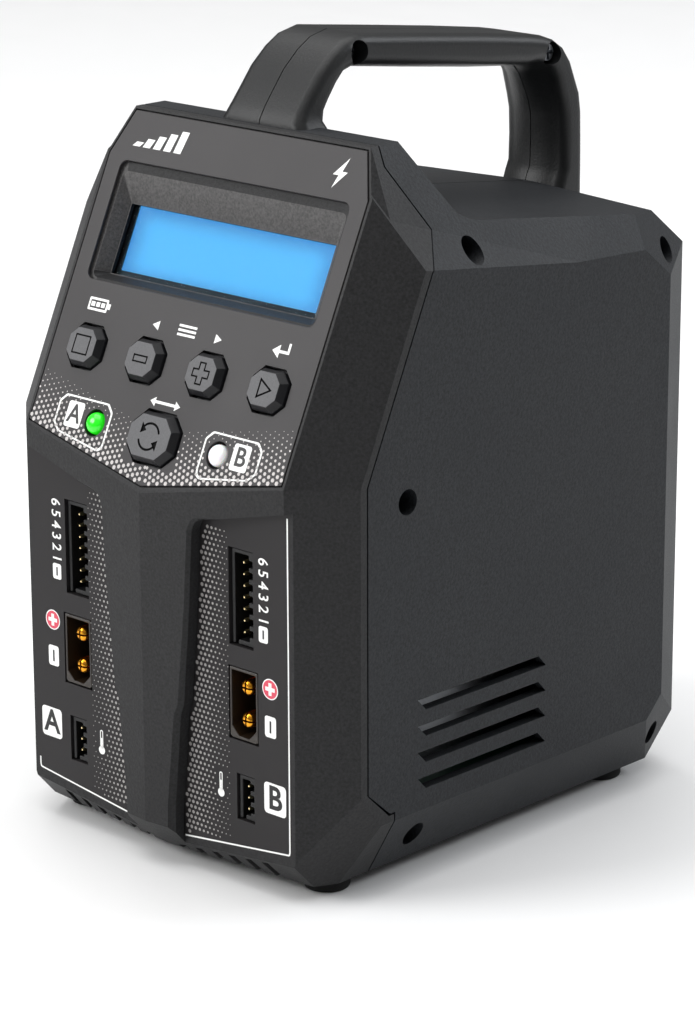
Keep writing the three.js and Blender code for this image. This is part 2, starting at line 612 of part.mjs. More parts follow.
// ---------- fasteners and feet ----------
function screwX(y, z, seat, headRadius, reach) {
  const head = tubeX(y, z, headRadius, seat + GAP, seat + GAP + 2);
  const shank = tubeX(y, z, 1.4, reach, seat + GAP + 1, 10);
  const slotA = block(seat + GAP + 1.2, seat + 5, y - 0.4, y + 0.4, z - 1.6, z + 1.6);
  const slotB = block(seat + GAP + 1.2, seat + 5, y - 1.6, y + 1.6, z - 0.4, z + 0.4);
  return cut(join(head, shank), slotA, slotB);
}

function foot(x, y) {
  const profile = [[0, 0], [4.6, 0], [5, 0.5], [5, 2.7], [1.5, 2.7], [1.5, 6], [0, 6]];
  const shape = new THREE.LatheGeometry(profile.map(([r, h]) => new THREE.Vector2(r, h)), 16);
  return toSolid(shape.rotateX(Math.PI / 2).translate(x, y, 0));
}

// ---------- finishes ----------
const finish = (color, roughness, metalness = 0) => new THREE.MeshStandardMaterial({ color, roughness, metalness });
const CASE = finish(0x2b2d30, 0.6);
const BEZEL = finish(0x2c2e30, 0.6);
const PANEL = finish(0x343234, 0.45);
const KEY = finish(0x2f2f31, 0.55);
const CLEAR = finish(0x9fd4ff, 0.1);
const BLUE = finish(0x4aa8f0, 0.3);
const GREEN = finish(0x2fd12f, 0.3);
const WHITE = finish(0xf2f2f2, 0.3);
const BLACK = finish(0x111113, 0.5);
const GOLD = finish(0xd9a441, 0.3, 1);
const TIN = finish(0xc4b892, 0.35, 1);
const BOARD = finish(0x1d5a34, 0.5);
const STEEL = finish(0x8d9094, 0.35, 1);
const ALLOY = finish(0xb5b8bc, 0.4, 1);
const CORE_STEEL = finish(0x5c5a55, 0.5, 0.6);
const SLEEVE = finish(0x20304f, 0.4);
const RUBBER = finish(0x161616, 0.85);

const model = new THREE.Group();

function add(name, solid, material) {
  const mesh = new THREE.Mesh(toGeometry(solid), material);
  mesh.name = name;
  model.add(mesh);
}

const sideName = (side) => (side > 0 ? 'b' : 'a');

add('right_half_shell', halfShell(1), CASE);
add('left_half_shell', halfShell(-1), CASE);
add('front_bezel', frontBezel(), BEZEL);
add('control_overlay', overlay(), PANEL);
add('lcd_window', panelPrism(rect(-31.5, 31.5, 34, 53), -LCD_DEPTH - GAP - 1, -LCD_DEPTH - GAP), CLEAR);
add('lcd_module', lcdModule(), BLUE);
add('key_board', keyBoard(), BOARD);
for (const [i, name] of ['stop_key', 'minus_key', 'plus_key', 'start_key'].entries()) {
  add(name, keycap(KEY_X[i], KEY_V, 10, 9, 2.2), KEY);
}
add('channel_key', keycap(0, CHANNEL_V, 13.8, 10.8, 2.9), KEY);
for (const side of SIDES) {
  const id = sideName(side);
  const x = side * OUTPUT.x;
  add(`light_guide_${id}`, lightGuide(side), side > 0 ? WHITE : GREEN);
  add(`port_panel_${id}`, portPanel(side), PANEL);
  add(`balance_port_${id}`, balancePort(side), BLACK);
  add(`balance_pins_${id}`, pinComb(side, BALANCE, 2.5, 7), TIN);
  add(`output_socket_${id}`, powerSocket(x, OUTPUT.z, PORT_FLOOR_Y, 14.6, 13), BLACK);
  add(`output_pin_plus_${id}`, powerPin(x, OUTPUT.z + 3.6, 6.2, 12.7, true), GOLD);
  add(`output_pin_minus_${id}`, powerPin(x, OUTPUT.z - 3.6, 6.2, 12.7, true), GOLD);
  add(`temp_port_${id}`, tempPort(side), BLACK);
  add(`temp_pins_${id}`, pinComb(side, { x: TEMP.x, z: TEMP.z + 0.2, pins: 3 }, 2.5, 7), TIN);
}
add('port_board', portBoard(), BOARD);
add('main_board', mainBoard(), BOARD);
add('heat_sink', heatSink(), ALLOY);
add('transformer', transformer(), CORE_STEEL);
add('input_capacitor', capacitor(-22, 40, 9, 30), SLEEVE);
add('output_capacitor', capacitor(-2, 38, 6, 22), SLEEVE);
add('fan_frame', fanFrame(), BLACK);
add('fan_rotor', fanRotor(), BLACK);
add('rear_panel', rearPanel(), CASE);
add('ac_inlet', acInlet(), BLACK);
add('ac_pin_left', tubeY(AC.x - 4.3, AC.z, 1.2, REAR_FACE_Y - 13.7, REAR_FACE_Y - 3, 10), STEEL);
add('ac_pin_right', tubeY(AC.x + 4.3, AC.z, 1.2, REAR_FACE_Y - 13.7, REAR_FACE_Y - 3, 10), STEEL);
add('dc_input_socket', powerSocket(DC.x, DC.z, REAR_FACE_Y, REAR_FACE_Y - 12, REAR_FACE_Y - 9), BLACK);
add('dc_pin_plus', powerPin(DC.x, DC.z + 3.6, REAR_FACE_Y - 8.7, REAR_FACE_Y - 1.5, false), GOLD);
add('dc_pin_minus', powerPin(DC.x, DC.z - 3.6, REAR_FACE_Y - 8.7, REAR_FACE_Y - 1.5, false), GOLD);
add('usb_port', usbPort(), STEEL);
for (const [i, [y, z]] of SCREW_SPOTS.entries()) {
  add(`shell_screw_${i + 1}`, screwX(y, z, 12, 2.4, -12), STEEL);
}
for (const [i, [y, z]] of HANDLE_SCREWS.entries()) {
  add(`handle_screw_${i + 1}`, screwX(y, z, 5, 1.9, -5), STEEL);
}
for (const side of SIDES) {
  for (const [i, [x, y]] of FEET.entries()) {
    add(`foot_${side > 0 ? 'right' : 'left'}_${i === 0 ? 'front' : 'rear'}`, foot(side * x, y), RUBBER);
  }
}

model.position.y = -DEPTH / 2;

export default model;
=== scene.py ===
import math
import bmesh
import bpy
from mathutils import Matrix, Vector


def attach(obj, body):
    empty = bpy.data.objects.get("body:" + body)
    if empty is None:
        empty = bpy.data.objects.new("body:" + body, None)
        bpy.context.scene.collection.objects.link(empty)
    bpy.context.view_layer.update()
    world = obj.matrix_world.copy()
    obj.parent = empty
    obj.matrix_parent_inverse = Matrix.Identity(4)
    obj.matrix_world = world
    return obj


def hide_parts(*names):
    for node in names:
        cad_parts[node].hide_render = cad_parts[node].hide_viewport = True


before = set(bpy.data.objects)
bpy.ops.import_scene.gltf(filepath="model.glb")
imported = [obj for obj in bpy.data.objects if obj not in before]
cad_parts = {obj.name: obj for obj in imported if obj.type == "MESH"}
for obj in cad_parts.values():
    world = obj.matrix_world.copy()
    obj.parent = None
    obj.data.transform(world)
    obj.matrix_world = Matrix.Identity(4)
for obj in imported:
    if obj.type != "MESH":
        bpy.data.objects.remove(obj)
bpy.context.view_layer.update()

# Pieces are modelled in millimetres with y counted back from the nose, then moved into the row frame.
DEPTH = 132.5
EDGE_X = 42.4
BASE_Z = 3
WALL = 2.4
PROW = (38.5, 3.5)
PANEL_Z = 89.8
TILT = math.radians(25)
CORNER_Y = 13.7
HUMP_TOP = 154.3
PORT_Y = 4.7
SEAM_GAP = 0.2
STEP_Z = 18.2
SCREWS = [(50, 132.4), (113.9, 121.9), (33.5, 9.7), (113.5, 10.6), (27.6, 84.4)]
HANDLE_SCREWS = [(55.4, 168), (119.8, 159.7)]
KEY_X = (-27, -9, 9, 27)
KEY_V = 18.6
CHANNEL_V = 3.4
LIGHT_X = 18.3
TO_ROW = Matrix.Scale(0.001, 4) @ Matrix.Translation((0, -DEPTH / 2, 0))
UP = Vector((0, math.sin(TILT), math.cos(TILT)))
OUT = Vector((0, -math.cos(TILT), math.sin(TILT)))
PANEL = Matrix(((1, UP.x, OUT.x, 0), (0, UP.y, OUT.y, PROW[1]), (0, UP.z, OUT.z, PANEL_Z), (0, 0, 0, 1)))
# Drawing planes: u right, v up, w out of the face.
FRONT = Matrix(((1, 0, 0, 0), (0, 0, -1, PORT_Y), (0, 1, 0, 0), (0, 0, 0, 1)))
ALONG_Y = Matrix(((1, 0, 0, 0), (0, 0, -1, 0), (0, 1, 0, 0), (0, 0, 0, 1)))
ALONG_X = Matrix(((0, 0, 1, 0), (1, 0, 0, 0), (0, 1, 0, 0), (0, 0, 0, 1)))
FLAT = Matrix.Identity(4)


# ---------- materials ----------
def node(tree, kind, **values):
    made = tree.nodes.new(kind)
    for key, value in values.items():
        if key in made.inputs:
            made.inputs[key].default_value = value
        else:
            setattr(made, key, value)
    return made


def srgb(code):
    parts = [int(code[i:i + 2], 16) / 255 for i in (0, 2, 4)]
    return tuple(((c + 0.055) / 1.055) ** 2.4 if c > 0.04045 else c / 12.92 for c in parts) + (1,)


def material(name, code, rough, metal=0.0, grain=0.0, bump=0.0, spread=0.0, rough_spread=0.0, wear=0.0,
             specular=0.5, coat=0.0, glow=0.0, transmission=0.0, subsurface=0.0):
    """A moulded, plated or printed surface. grain is the texture's size in millimetres."""
    made = bpy.data.materials.new(name)
    made.use_nodes = True
    tree = made.node_tree
    shader = tree.nodes["Principled BSDF"]
    colour = srgb(code)
    made.diffuse_color = colour
    shader.inputs["Base Color"].default_value = colour
    shader.inputs["Roughness"].default_value = rough
    shader.inputs["Metallic"].default_value = metal
    shader.inputs["Specular IOR Level"].default_value = specular
    shader.inputs["Coat Weight"].default_value = coat
    shader.inputs["Coat Roughness"].default_value = 0.12
    shader.inputs["Transmission Weight"].default_value = transmission
    shader.inputs["Subsurface Weight"].default_value = subsurface
    shader.inputs["Subsurface Scale"].default_value = 0.002
    if glow:
        shader.inputs["Emission Color"].default_value = colour
        shader.inputs["Emission Strength"].default_value = glow
    link = tree.links.new
    place = node(tree, "ShaderNodeTexCoord")
    fine = node(tree, "ShaderNodeTexNoise", Scale=1000 / (grain or 2), Detail=4.0, Roughness=0.6)
    broad = node(tree, "ShaderNodeTexNoise", Scale=45.0, Detail=3.0)
    link(place.outputs["Object"], fine.inputs["Vector"])
    link(place.outputs["Object"], broad.inputs["Vector"])
    if spread:
        dark = tuple(c * (1 - spread) for c in colour[:3]) + (1,)
        light = tuple(min(1, c * (1 + spread)) for c in colour[:3]) + (1,)
        ramp = node(tree, "ShaderNodeValToRGB")
        ramp.color_ramp.elements[0].position = 0.32
        ramp.color_ramp.elements[0].color = dark
        ramp.color_ramp.elements[1].position = 0.68
        ramp.color_ramp.elements[1].color = light
        link(fine.outputs["Fac"], ramp.inputs["Fac"])
        out = ramp.outputs["Color"]
        if wear:
            patch = node(tree, "ShaderNodeMapRange")
            patch.inputs["From Min"].default_value = 0.3
            patch.inputs["From Max"].default_value = 0.75
            patch.inputs["To Min"].default_value = 0.0
            patch.inputs["To Max"].default_value = wear
            link(broad.outputs["Fac"], patch.inputs["Value"])
            mix = node(tree, "ShaderNodeMixRGB", blend_type="MIX", Color2=light)
            link(patch.outputs["Result"], mix.inputs["Fac"])
            link(out, mix.inputs["Color1"])
            out = mix.outputs["Color"]
        link(out, shader.inputs["Base Color"])
    if rough_spread:
        change = node(tree, "ShaderNodeMapRange")
        change.inputs["To Min"].default_value = max(0.02, rough - rough_spread)
        change.inputs["To Max"].default_value = min(1, rough + rough_spread)
        link(broad.outputs["Fac"], change.inputs["Value"])
        link(change.outputs["Result"], shader.inputs["Roughness"])
    if bump:
        relief = node(tree, "ShaderNodeBump", Strength=bump, Distance=0.0001)
        link(fine.outputs["Fac"], relief.inputs["Height"])
        link(relief.outputs["Normal"], shader.inputs["Normal"])
    return made


SHELL = material("shell_spark_texture", "1c1e21", 0.55, grain=0.6, bump=1.0, spread=0.6,
                 rough_spread=0.06, wear=0.2,
                 specular=0.28)
BEZEL = material("bezel_spark_texture", "202021", 0.55, grain=0.6, bump=0.9, spread=0.5,
                 rough_spread=0.06, wear=0.2,
                 specular=0.28)
HANDLE = material("handle_satin", "141516", 0.46, grain=0.6, bump=0.6, spread=0.25, rough_spread=0.06,
                  wear=0.2,
                  specular=0.36)
# A lighter copy of the bezel finish for the walls round the display: painted light where the lamps leave
# these walls darker.
RECESS_PAINTED_LIGHT = material("display_recess_painted_light", "4c4b4b", 0.55, grain=0.5, bump=0.8, spread=0.35, rough_spread=0.06,
                  specular=0.28)
FILM = material("overlay_film", "333132", 0.45, grain=0.25, bump=0.05, spread=0.05, rough_spread=0.04,
                specular=0.25)
PLATE = material("port_plate", "232122", 0.5, grain=0.25, bump=0.05, spread=0.06, rough_spread=0.04,
                 specular=0.25)
KEY = material("key_cap", "5c5c5e", 0.5, grain=0.35, bump=0.2, spread=0.1, rough_spread=0.05, specular=0.25)
# A darker copy of the key finish for the sides of the caps: painted shade on the side facets.
KEY_PAINTED_SHADE = material("key_side_painted_shade", "17171a", 0.45, grain=0.35, bump=0.2, spread=0.12, rough_spread=0.05,
                    specular=0.3)
ENGRAVED = material("key_engraving", "09090a", 0.7, grain=0.3, bump=0.2, spread=0.1, specular=0.1)
INK = material("white_print", "f8f8f6", 0.5, grain=0.2, bump=0.03, spread=0.03)
DOT_INK = material("panel_dot_print", "c2bdbb", 0.5, grain=0.2, bump=0.03, spread=0.05)
PORT_DOT_INK = material("port_dot_print", "a19d9b", 0.5, grain=0.2, bump=0.03, spread=0.05)
DARK_INK = material("dark_print", "141415", 0.5, grain=0.2, bump=0.03, spread=0.05)
RED_INK = material("red_print", "d8465c", 0.45, grain=0.2, bump=0.03, spread=0.05)
NYLON = material("black_nylon", "101011", 0.42, grain=0.4, bump=0.2, spread=0.15, rough_spread=0.05,
                 specular=0.35)
AMBER_BLACK = material("socket_nylon", "21180f", 0.35, grain=0.4, bump=0.1, spread=0.2, rough_spread=0.05)
GOLD = material("gold_contact", "eaa02c", 0.24, metal=1, grain=0.3, bump=0.04, spread=0.08,
                rough_spread=0.06)
PALE_GOLD = material("pale_gold_pin", "e6d3a0", 0.3, metal=1, grain=0.3, bump=0.04, spread=0.08)
STEEL = material("zinc_steel", "7d8084", 0.35, metal=1, grain=0.3, bump=0.1, spread=0.12, rough_spread=0.08)
BOARD = material("solder_mask", "1c5a37", 0.35, grain=0.8, bump=0.15, spread=0.15, coat=0.3)
ALLOY = material("extruded_alloy", "b3b6ba", 0.36, metal=1, grain=0.4, bump=0.15, spread=0.06,
                 rough_spread=0.08)
CORE = material("core_laminations", "5a5853", 0.5, metal=0.6, grain=0.4, bump=0.3, spread=0.2)
SLEEVE = material("capacitor_sleeve", "1d2c52", 0.3, grain=0.6, bump=0.08, spread=0.1, coat=0.3)
RUBBER = material("foot_rubber", "151515", 0.8, grain=0.5, bump=0.5, spread=0.25, rough_spread=0.06,
                  specular=0.3)
GREEN = material("green_lens", "1fd81a", 0.22, grain=0.8, bump=0.03, spread=0.08, glow=0.55, coat=0.4)
MILK = material("milky_lens", "f6f6f6", 0.22, grain=0.8, bump=0.03, spread=0.02, coat=0.4,
                subsurface=0.3, glow=0.12)
CLEAR = material("display_window", "dff2ff", 0.04, grain=2.0, bump=0.01, rough_spread=0.01,
                 transmission=1.0)
CLEAR.node_tree.nodes["Principled BSDF"].inputs["IOR"].default_value = 1.03
MASK = material("display_mask", "05070a", 0.5, grain=0.4, bump=0.05, spread=0.1, specular=0.2)


def glowing_display():
    """Backlight: even sky blue that falls off near the edges of the lit area."""
    made = bpy.data.materials.new("display_backlight")
    made.use_nodes = True
    tree = made.node_tree
    link = tree.links.new
    shader = tree.nodes["Principled BSDF"]
    shader.inputs["Roughness"].default_value = 0.4
    shader.inputs["Specular IOR Level"].default_value = 0.2
    shader.inputs["Base Color"].default_value = srgb("0a1826")
    shader.inputs["Emission Strength"].default_value = 0.95
    place = node(tree, "ShaderNodeUVMap")
    split = node(tree, "ShaderNodeSeparateXYZ")
    link(place.outputs["UV"], split.inputs["Vector"])
    edges = []
    for axis in ("X", "Y"):
        away = node(tree, "ShaderNodeMath", operation="PINGPONG")
        away.inputs[1].default_value = 0.5
        link(split.outputs[axis], away.inputs[0])
        rise = node(tree, "ShaderNodeMapRange", interpolation_type="SMOOTHSTEP")
        rise.inputs["From Max"].default_value = 0.13 if axis == "X" else 0.3
        link(away.outputs["Value"], rise.inputs["Value"])
        edges.append(rise.outputs["Result"])
    both = node(tree, "ShaderNodeMath", operation="MULTIPLY")
    link(edges[0], both.inputs[0])
    link(edges[1], both.inputs[1])
    ramp = node(tree, "ShaderNodeValToRGB")
    ramp.color_ramp.elements[0].color = srgb("4594d2")
    ramp.color_ramp.elements[1].color = srgb("5cc4fd")
    link(both.outputs["Value"], ramp.inputs["Fac"])
    link(ramp.outputs["Color"], shader.inputs["Emission Color"])
    return made


BACKLIGHT = glowing_display()


# ---------- mesh helpers ----------
def to_object(bm, name):
    mesh = bpy.data.meshes.new(name)
    bm.to_mesh(mesh)
    bm.free()
    made = bpy.data.objects.new(name, mesh)
    bpy.context.scene.collection.objects.link(made)
    return made


def drop(obj):
    bpy.data.objects.remove(obj)


def applied(obj):
    graph = bpy.context.evaluated_depsgraph_get()
    mesh = bpy.data.meshes.new_from_object(obj.evaluated_get(graph))
    obj.modifiers.clear()
    obj.data = mesh
    return obj


def boolean(obj, others, operation="DIFFERENCE"):
    for other in others:
        step = obj.modifiers.new("step", "BOOLEAN")
        step.operation = operation
        step.solver = "EXACT"
        step.object = other
    applied(obj)
    for other in others:
        drop(other)
    return obj


def bevelled(obj, width, segments=3, angle=8):
    step = obj.modifiers.new("round", "BEVEL")
    step.width = width
    step.segments = segments
    step.limit_method = "ANGLE"
    step.angle_limit = math.radians(angle)
    step.miter_outer = "MITER_ARC"
    return applied(obj)


def clean(obj, angle=0.3):
    bm = bmesh.new()
    bm.from_mesh(obj.data)
    bmesh.ops.remove_doubles(bm, verts=bm.verts, dist=0.002)
    bmesh.ops.dissolve_limit(bm, angle_limit=math.radians(angle), verts=bm.verts, edges=bm.edges)
    bm.to_mesh(obj.data)
    bm.free()
    return obj


def copy_of(obj, name):
    made = obj.copy()
    made.data = obj.data.copy()
    made.name = name
    bpy.context.scene.collection.objects.link(made)
    return made


def place(obj, name, finish, slot, body="case", replaces=(), sharp=32, smooth=True):
    """Moves a finished piece into the row frame and gives it its finish and its body."""
    obj.data.transform(TO_ROW @ obj.matrix_world)
    obj.matrix_world = Matrix.Identity(4)
    obj.name = name
    obj.data.name = name
    if not obj.data.materials:
        obj.data.materials.append(finish)
    if smooth:
        obj.data.shade_smooth()
        obj.data.set_sharp_from_angle(angle=math.radians(sharp))
        step = obj.modifiers.new("normals", "WEIGHTED_NORMAL")
        step.keep_sharp = True
        step.weight = 100
        applied(obj)
    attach(obj, body)
    if replaces:
        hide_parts(*replaces)
    return obj


def flipped(obj, name):
    """The mirror image of a piece about the middle plane."""
    made = copy_of(obj, name)
    made.data.transform(Matrix.Scale(-1, 4, (1, 0, 0)))
    made.data.flip_normals()
    return made


def skinned(bm, rings):
    """Joins each ring of vertices to the next."""
    for low, high in zip(rings, rings[1:]):
        for i, corner in enumerate(low):
            after = (i + 1) % len(low)
            bm.faces.new((corner, low[after], high[after], high[i]))


def loft(name, sections, plane=FLAT):
    """A body through rings of points [(u, v), ...] at heights w, all with the same number of points."""
    bm = bmesh.new()
    rings = [[bm.verts.new(plane @ Vector((u, v, w))) for u, v in points] for points, w in sections]
    skinned(bm, rings)
    bm.faces.new(list(reversed(rings[0])))
    bm.faces.new(rings[-1])
    bmesh.ops.recalc_face_normals(bm, faces=bm.faces)
    return to_object(bm, name)


def prism(points, w0, w1, plane=FLAT, name="prism"):
    return loft(name, [(points, w0), (points, w1)], plane)


def rect(u0, u1, v0, v1, radius=0.0, steps=5):
    if not radius:
        return [(u0, v0), (u1, v0), (u1, v1), (u0, v1)]
    points = []
    corners = [(u1 - radius, v0 + radius, -90), (u1 - radius, v1 - radius, 0), (u0 + radius, v1 - radius, 90),
               (u0 + radius, v0 + radius, 180)]
    for cu, cv, start in corners:
        for i in range(steps + 1):
            turn = math.radians(start + 90 * i / steps)
            points.append((cu + radius * math.cos(turn), cv + radius * math.sin(turn)))
    return points


def circle(u, v, radius, count=32):
    return [(u + radius * math.cos(2 * math.pi * i / count), v + radius * math.sin(2 * math.pi * i / count))
            for i in range(count)]


def octagon(u, v, width, height, corner):
    a, b = width / 2, height / 2
    ring = [(a, b - corner), (a - corner, b), (corner - a, b), (-a, b - corner),
            (-a, corner - b), (corner - a, -b), (a - corner, -b), (a, corner - b)]
    return [(u + p, v + q) for p, q in ring]


def mirror(points):
    return [(-u, v) for u, v in reversed(points)]


def rounded_corners(points, radii, steps=5):
    """Rounds the corners of an outline: radii maps corner numbers to radii."""
    result = []
    count = len(points)
    for i, corner in enumerate(points):
        radius = radii.get(i, 0)
        here = Vector(corner)
        if not radius:
            result.append(corner)
            continue
        back = (Vector(points[i - 1]) - here).normalized()
        ahead = (Vector(points[(i + 1) % count]) - here).normalized()
        half = back.angle(ahead) / 2
        reach = radius / math.tan(half)
        centre = here + (back + ahead).normalized() * (radius / math.sin(half))
        start, end = here + back * reach - centre, here + ahead * reach - centre
        sweep = start.angle_signed(end)
        for k in range(steps + 1):
            turned = start.copy()
            turned.rotate(Matrix.Rotation(-sweep * k / steps, 2))
            result.append(tuple(centre + turned))
    return result


# ---------- outer form ----------
def slope_top(y):
    return 136.3 + 0.125 * (63.9 - y)


def rear(y):
    return y + 0.18 * EDGE_X


TOP_BAND = ((50, 35.2, 131.1), (50, 105.4, 122), (EDGE_X, 63.9, slope_top(63.9)))
WALLS = [
    ((50, 0, 0), (50, 1, 0), (50, 0, 1)),
    ((0, 0, 0), (*PROW, 0), (0, 0, 1)),
    ((*PROW, 0), (50, CORNER_Y, 0), (*PROW, 1)),
    ((*PROW, PANEL_Z), (50, CORNER_Y, PANEL_Z), (50, 32.6, 130.7)),
    ((50, 105.4, 122), (50, 111.4, 117.3), (EDGE_X, 119.2, 125.8)),
    ((50, 111.4, 0), (EDGE_X, 124.9, 0), (EDGE_X, 124.9, 1)),
    ((50, 111.4, 21.5), (50, 106.3, 16.5), (EDGE_X, 120.2, 7.6)),
    ((50, 0, 16.5), (50, 1, 16.5), (EDGE_X, 0, BASE_Z)),
    ((EDGE_X, 124.9, 0), (EDGE_X, 124.9, 1), (0, rear(124.9), 0)),
    ((EDGE_X, 113.6, 130.1), (EDGE_X, 124.9, 121.4), (0, rear(113.6), 130.1)),
    ((EDGE_X, 124.9, 12.3), (EDGE_X, 115.6, BASE_Z), (0, rear(115.6), BASE_Z)),
    ((0, 0, 9.8), (PROW[0], 0, 13.65), (0, 6.3, BASE_Z)),
    ((40.2, 4.6, 10.6), (50.4, 14.2, 24.4), (49.4, 18.6, 16.2)),
]
SHARED = [TOP_BAND, *WALLS]
PANEL_FACET = ((0, PROW[1], PANEL_Z), (1, PROW[1], PANEL_Z), (0, PROW[1] + UP.y, PANEL_Z + UP.z))
TOP_FACET = ((EDGE_X, 63.9, slope_top(63.9)), (EDGE_X, 113.6, slope_top(113.6)),
             (0, 63.9, slope_top(63.9) + 0.6))
HUMP_SIDE = ((38.5, 28.9, 144.7), (44.2, 30.9, 137.9), (34.3, 33.6, HUMP_TOP))
HUMP_SHOULDER = ((34.3, 33.6, HUMP_TOP), (34.1, 41.6, HUMP_TOP), (43.8, 41.3, 137.6))
INSIDE = Vector((0, 45, 70))


def mirrored_facet(facet, side):
    return tuple((side * x, y, z) for x, y, z in facet)


def shaved(bm, facet, inset, keep_outside=False):
    """Cuts off what lies past a facet moved inwards by inset, or what lies short of it."""
    a, b, c = (Vector(p) for p in facet)
    out = (b - a).cross(c - a).normalized()
    if out.dot(INSIDE - a) > 0:
        out.negate()
    if keep_outside:
        out.negate()
        inset = -inset
    parts = list(bm.verts) + list(bm.edges) + list(bm.faces)
    cut = bmesh.ops.bisect_plane(bm, geom=parts, dist=1e-4, plane_co=a - out * inset, plane_no=out,
                                 clear_outer=True)
    edges = [e for e in cut["geom_cut"] if isinstance(e, bmesh.types.BMEdge) and e.is_boundary]
    if edges:
        bmesh.ops.holes_fill(bm, edges=edges)


def faceted(name, facets, z1, inset=0.0, extra=()):
    bm = bmesh.new()
    bmesh.ops.create_cube(bm, size=1, matrix=Matrix.Translation((0, 70, (BASE_Z + z1) / 2))
                          @ Matrix.Diagonal((120, 180, z1 - BASE_Z - 2 * inset, 1)))
    for facet in facets:
        shaved(bm, facet, inset)
        shaved(bm, mirrored_facet(facet, -1), inset)
    for facet in extra:
        shaved(bm, facet, 0)
    bmesh.ops.recalc_face_normals(bm, faces=bm.faces)
    return to_object(bm, name)


def behind_hump(shift_y=0.0, shift_z=0.0):
    """What the rear of the hump and the roof behind it leave free, over a slightly crowned roof."""
    floor_line = [(49.6, 140.65), (50.5, 139.35), (51.9, slope_top(51.9) + 0.75),
                  (53.6, slope_top(53.6) + 0.2), (55.6, slope_top(55.6)), (150, slope_top(150))]
    bm = bmesh.new()
    rings = []
    for x, sink in ((-60, 0.85), (0, 0), (60, 0.85)):
        ring = [(18.94, 194.3)] + [(y, z + 0.6 - sink) for y, z in floor_line] + [(150, 194.3)]
        rings.append([bm.verts.new((x, y + shift_y, z + shift_z)) for y, z in ring])
    skinned(bm, rings)
    bm.faces.new(rings[0])
    bm.faces.new(rings[-1])
    bmesh.ops.recalc_face_normals(bm, faces=bm.faces)
    return to_object(bm, "behind_hump")


def beside_hump(side, inset):
    """What lies above the top band, less the flank of the hump that stands out of it."""
    bm = bmesh.new()
    bmesh.ops.create_cube(bm, size=300, matrix=Matrix.Translation((0, 45, 100)))
    shaved(bm, mirrored_facet(TOP_BAND, side), inset, True)
    above = to_object(bm, "above_band")
    bm = bmesh.new()
    bmesh.ops.create_cube(bm, size=400, matrix=Matrix.Translation((0, 45, 100)))
    for facet in (HUMP_SIDE, HUMP_SHOULDER):
        shaved(bm, mirrored_facet(facet, side), inset)
    return boolean(above, [to_object(bm, "flank")])


def case_form(name, inset=0.0):
    form = faceted(name, WALLS + [PANEL_FACET], HUMP_TOP, inset)
    boolean(form, [beside_hump(1, inset), beside_hump(-1, inset)])
    return boolean(form, [behind_hump(-inset / 1.5, -inset)])


outer = case_form("outer")
clean(outer)
bevelled(outer, 0.7)

SEAM = [(23.7, -5), (23.7, STEP_Z), (22.2, STEP_Z), (15.7, 24.1), (15.7, PANEL_Z), (34.9, 130.7),
        (41.3, 137.6), (35.2, 150.3), (35.9, 154.3), (35.9, 180)]


def seam(by):
    return [(y + by, z + by if z == STEP_Z else z) for y, z in SEAM]


# ---------- half shells ----------
SLOT_TOPS = (41, 35.2, 29.4, 23.6)
SLOT_HEIGHT = 2.6
BOSS_RADIUS = 4.4
SCREW_HOLE = 2.75
HALF_GAP = 0.15
REAR_WINDOW = [(-1, 17), (24, 17), (24, 108), (-1, 108)]


def side_slots():
    slots = []
    for top in SLOT_TOPS:
        low = top - SLOT_HEIGHT
        slots.append(prism([(30.8, top), (33.3, low), (71.5, low), (69, top)], 40, 60, ALONG_X))
    return slots


hollow = case_form("hollow", WALL)
rear_half = copy_of(outer, "rear_half")
boolean(rear_half, [prism([*seam(SEAM_GAP), (170, 180), (170, -5)], HALF_GAP, 70, ALONG_X)], "INTERSECT")
boolean(rear_half, [copy_of(hollow, "void")])
clean(rear_half, 0.05)
boolean(rear_half, side_slots() + [prism(REAR_WINDOW, -140, -110, ALONG_Y)])
left_half = flipped(rear_half, "left_half")
bosses = faceted("bosses", SHARED + [PANEL_FACET, TOP_FACET], 160, 1.1)
rods = [prism(circle(y, z, BOSS_RADIUS, 28), 10, 60, ALONG_X) for y, z in SCREWS]
boolean(rods[0], rods[1:], "UNION")
boolean(rods[0], [bosses], "INTERSECT")
boolean(rear_half, [rods[0]], "UNION")
boolean(rear_half, [prism(circle(y, z, SCREW_HOLE, 28), 12, 60, ALONG_X) for y, z in SCREWS])
place(rear_half, "shell_right", SHELL, "case_plastic", replaces=["right_half_shell"])
place(left_half, "shell_left", SHELL, "case_plastic", replaces=["left_half_shell"])

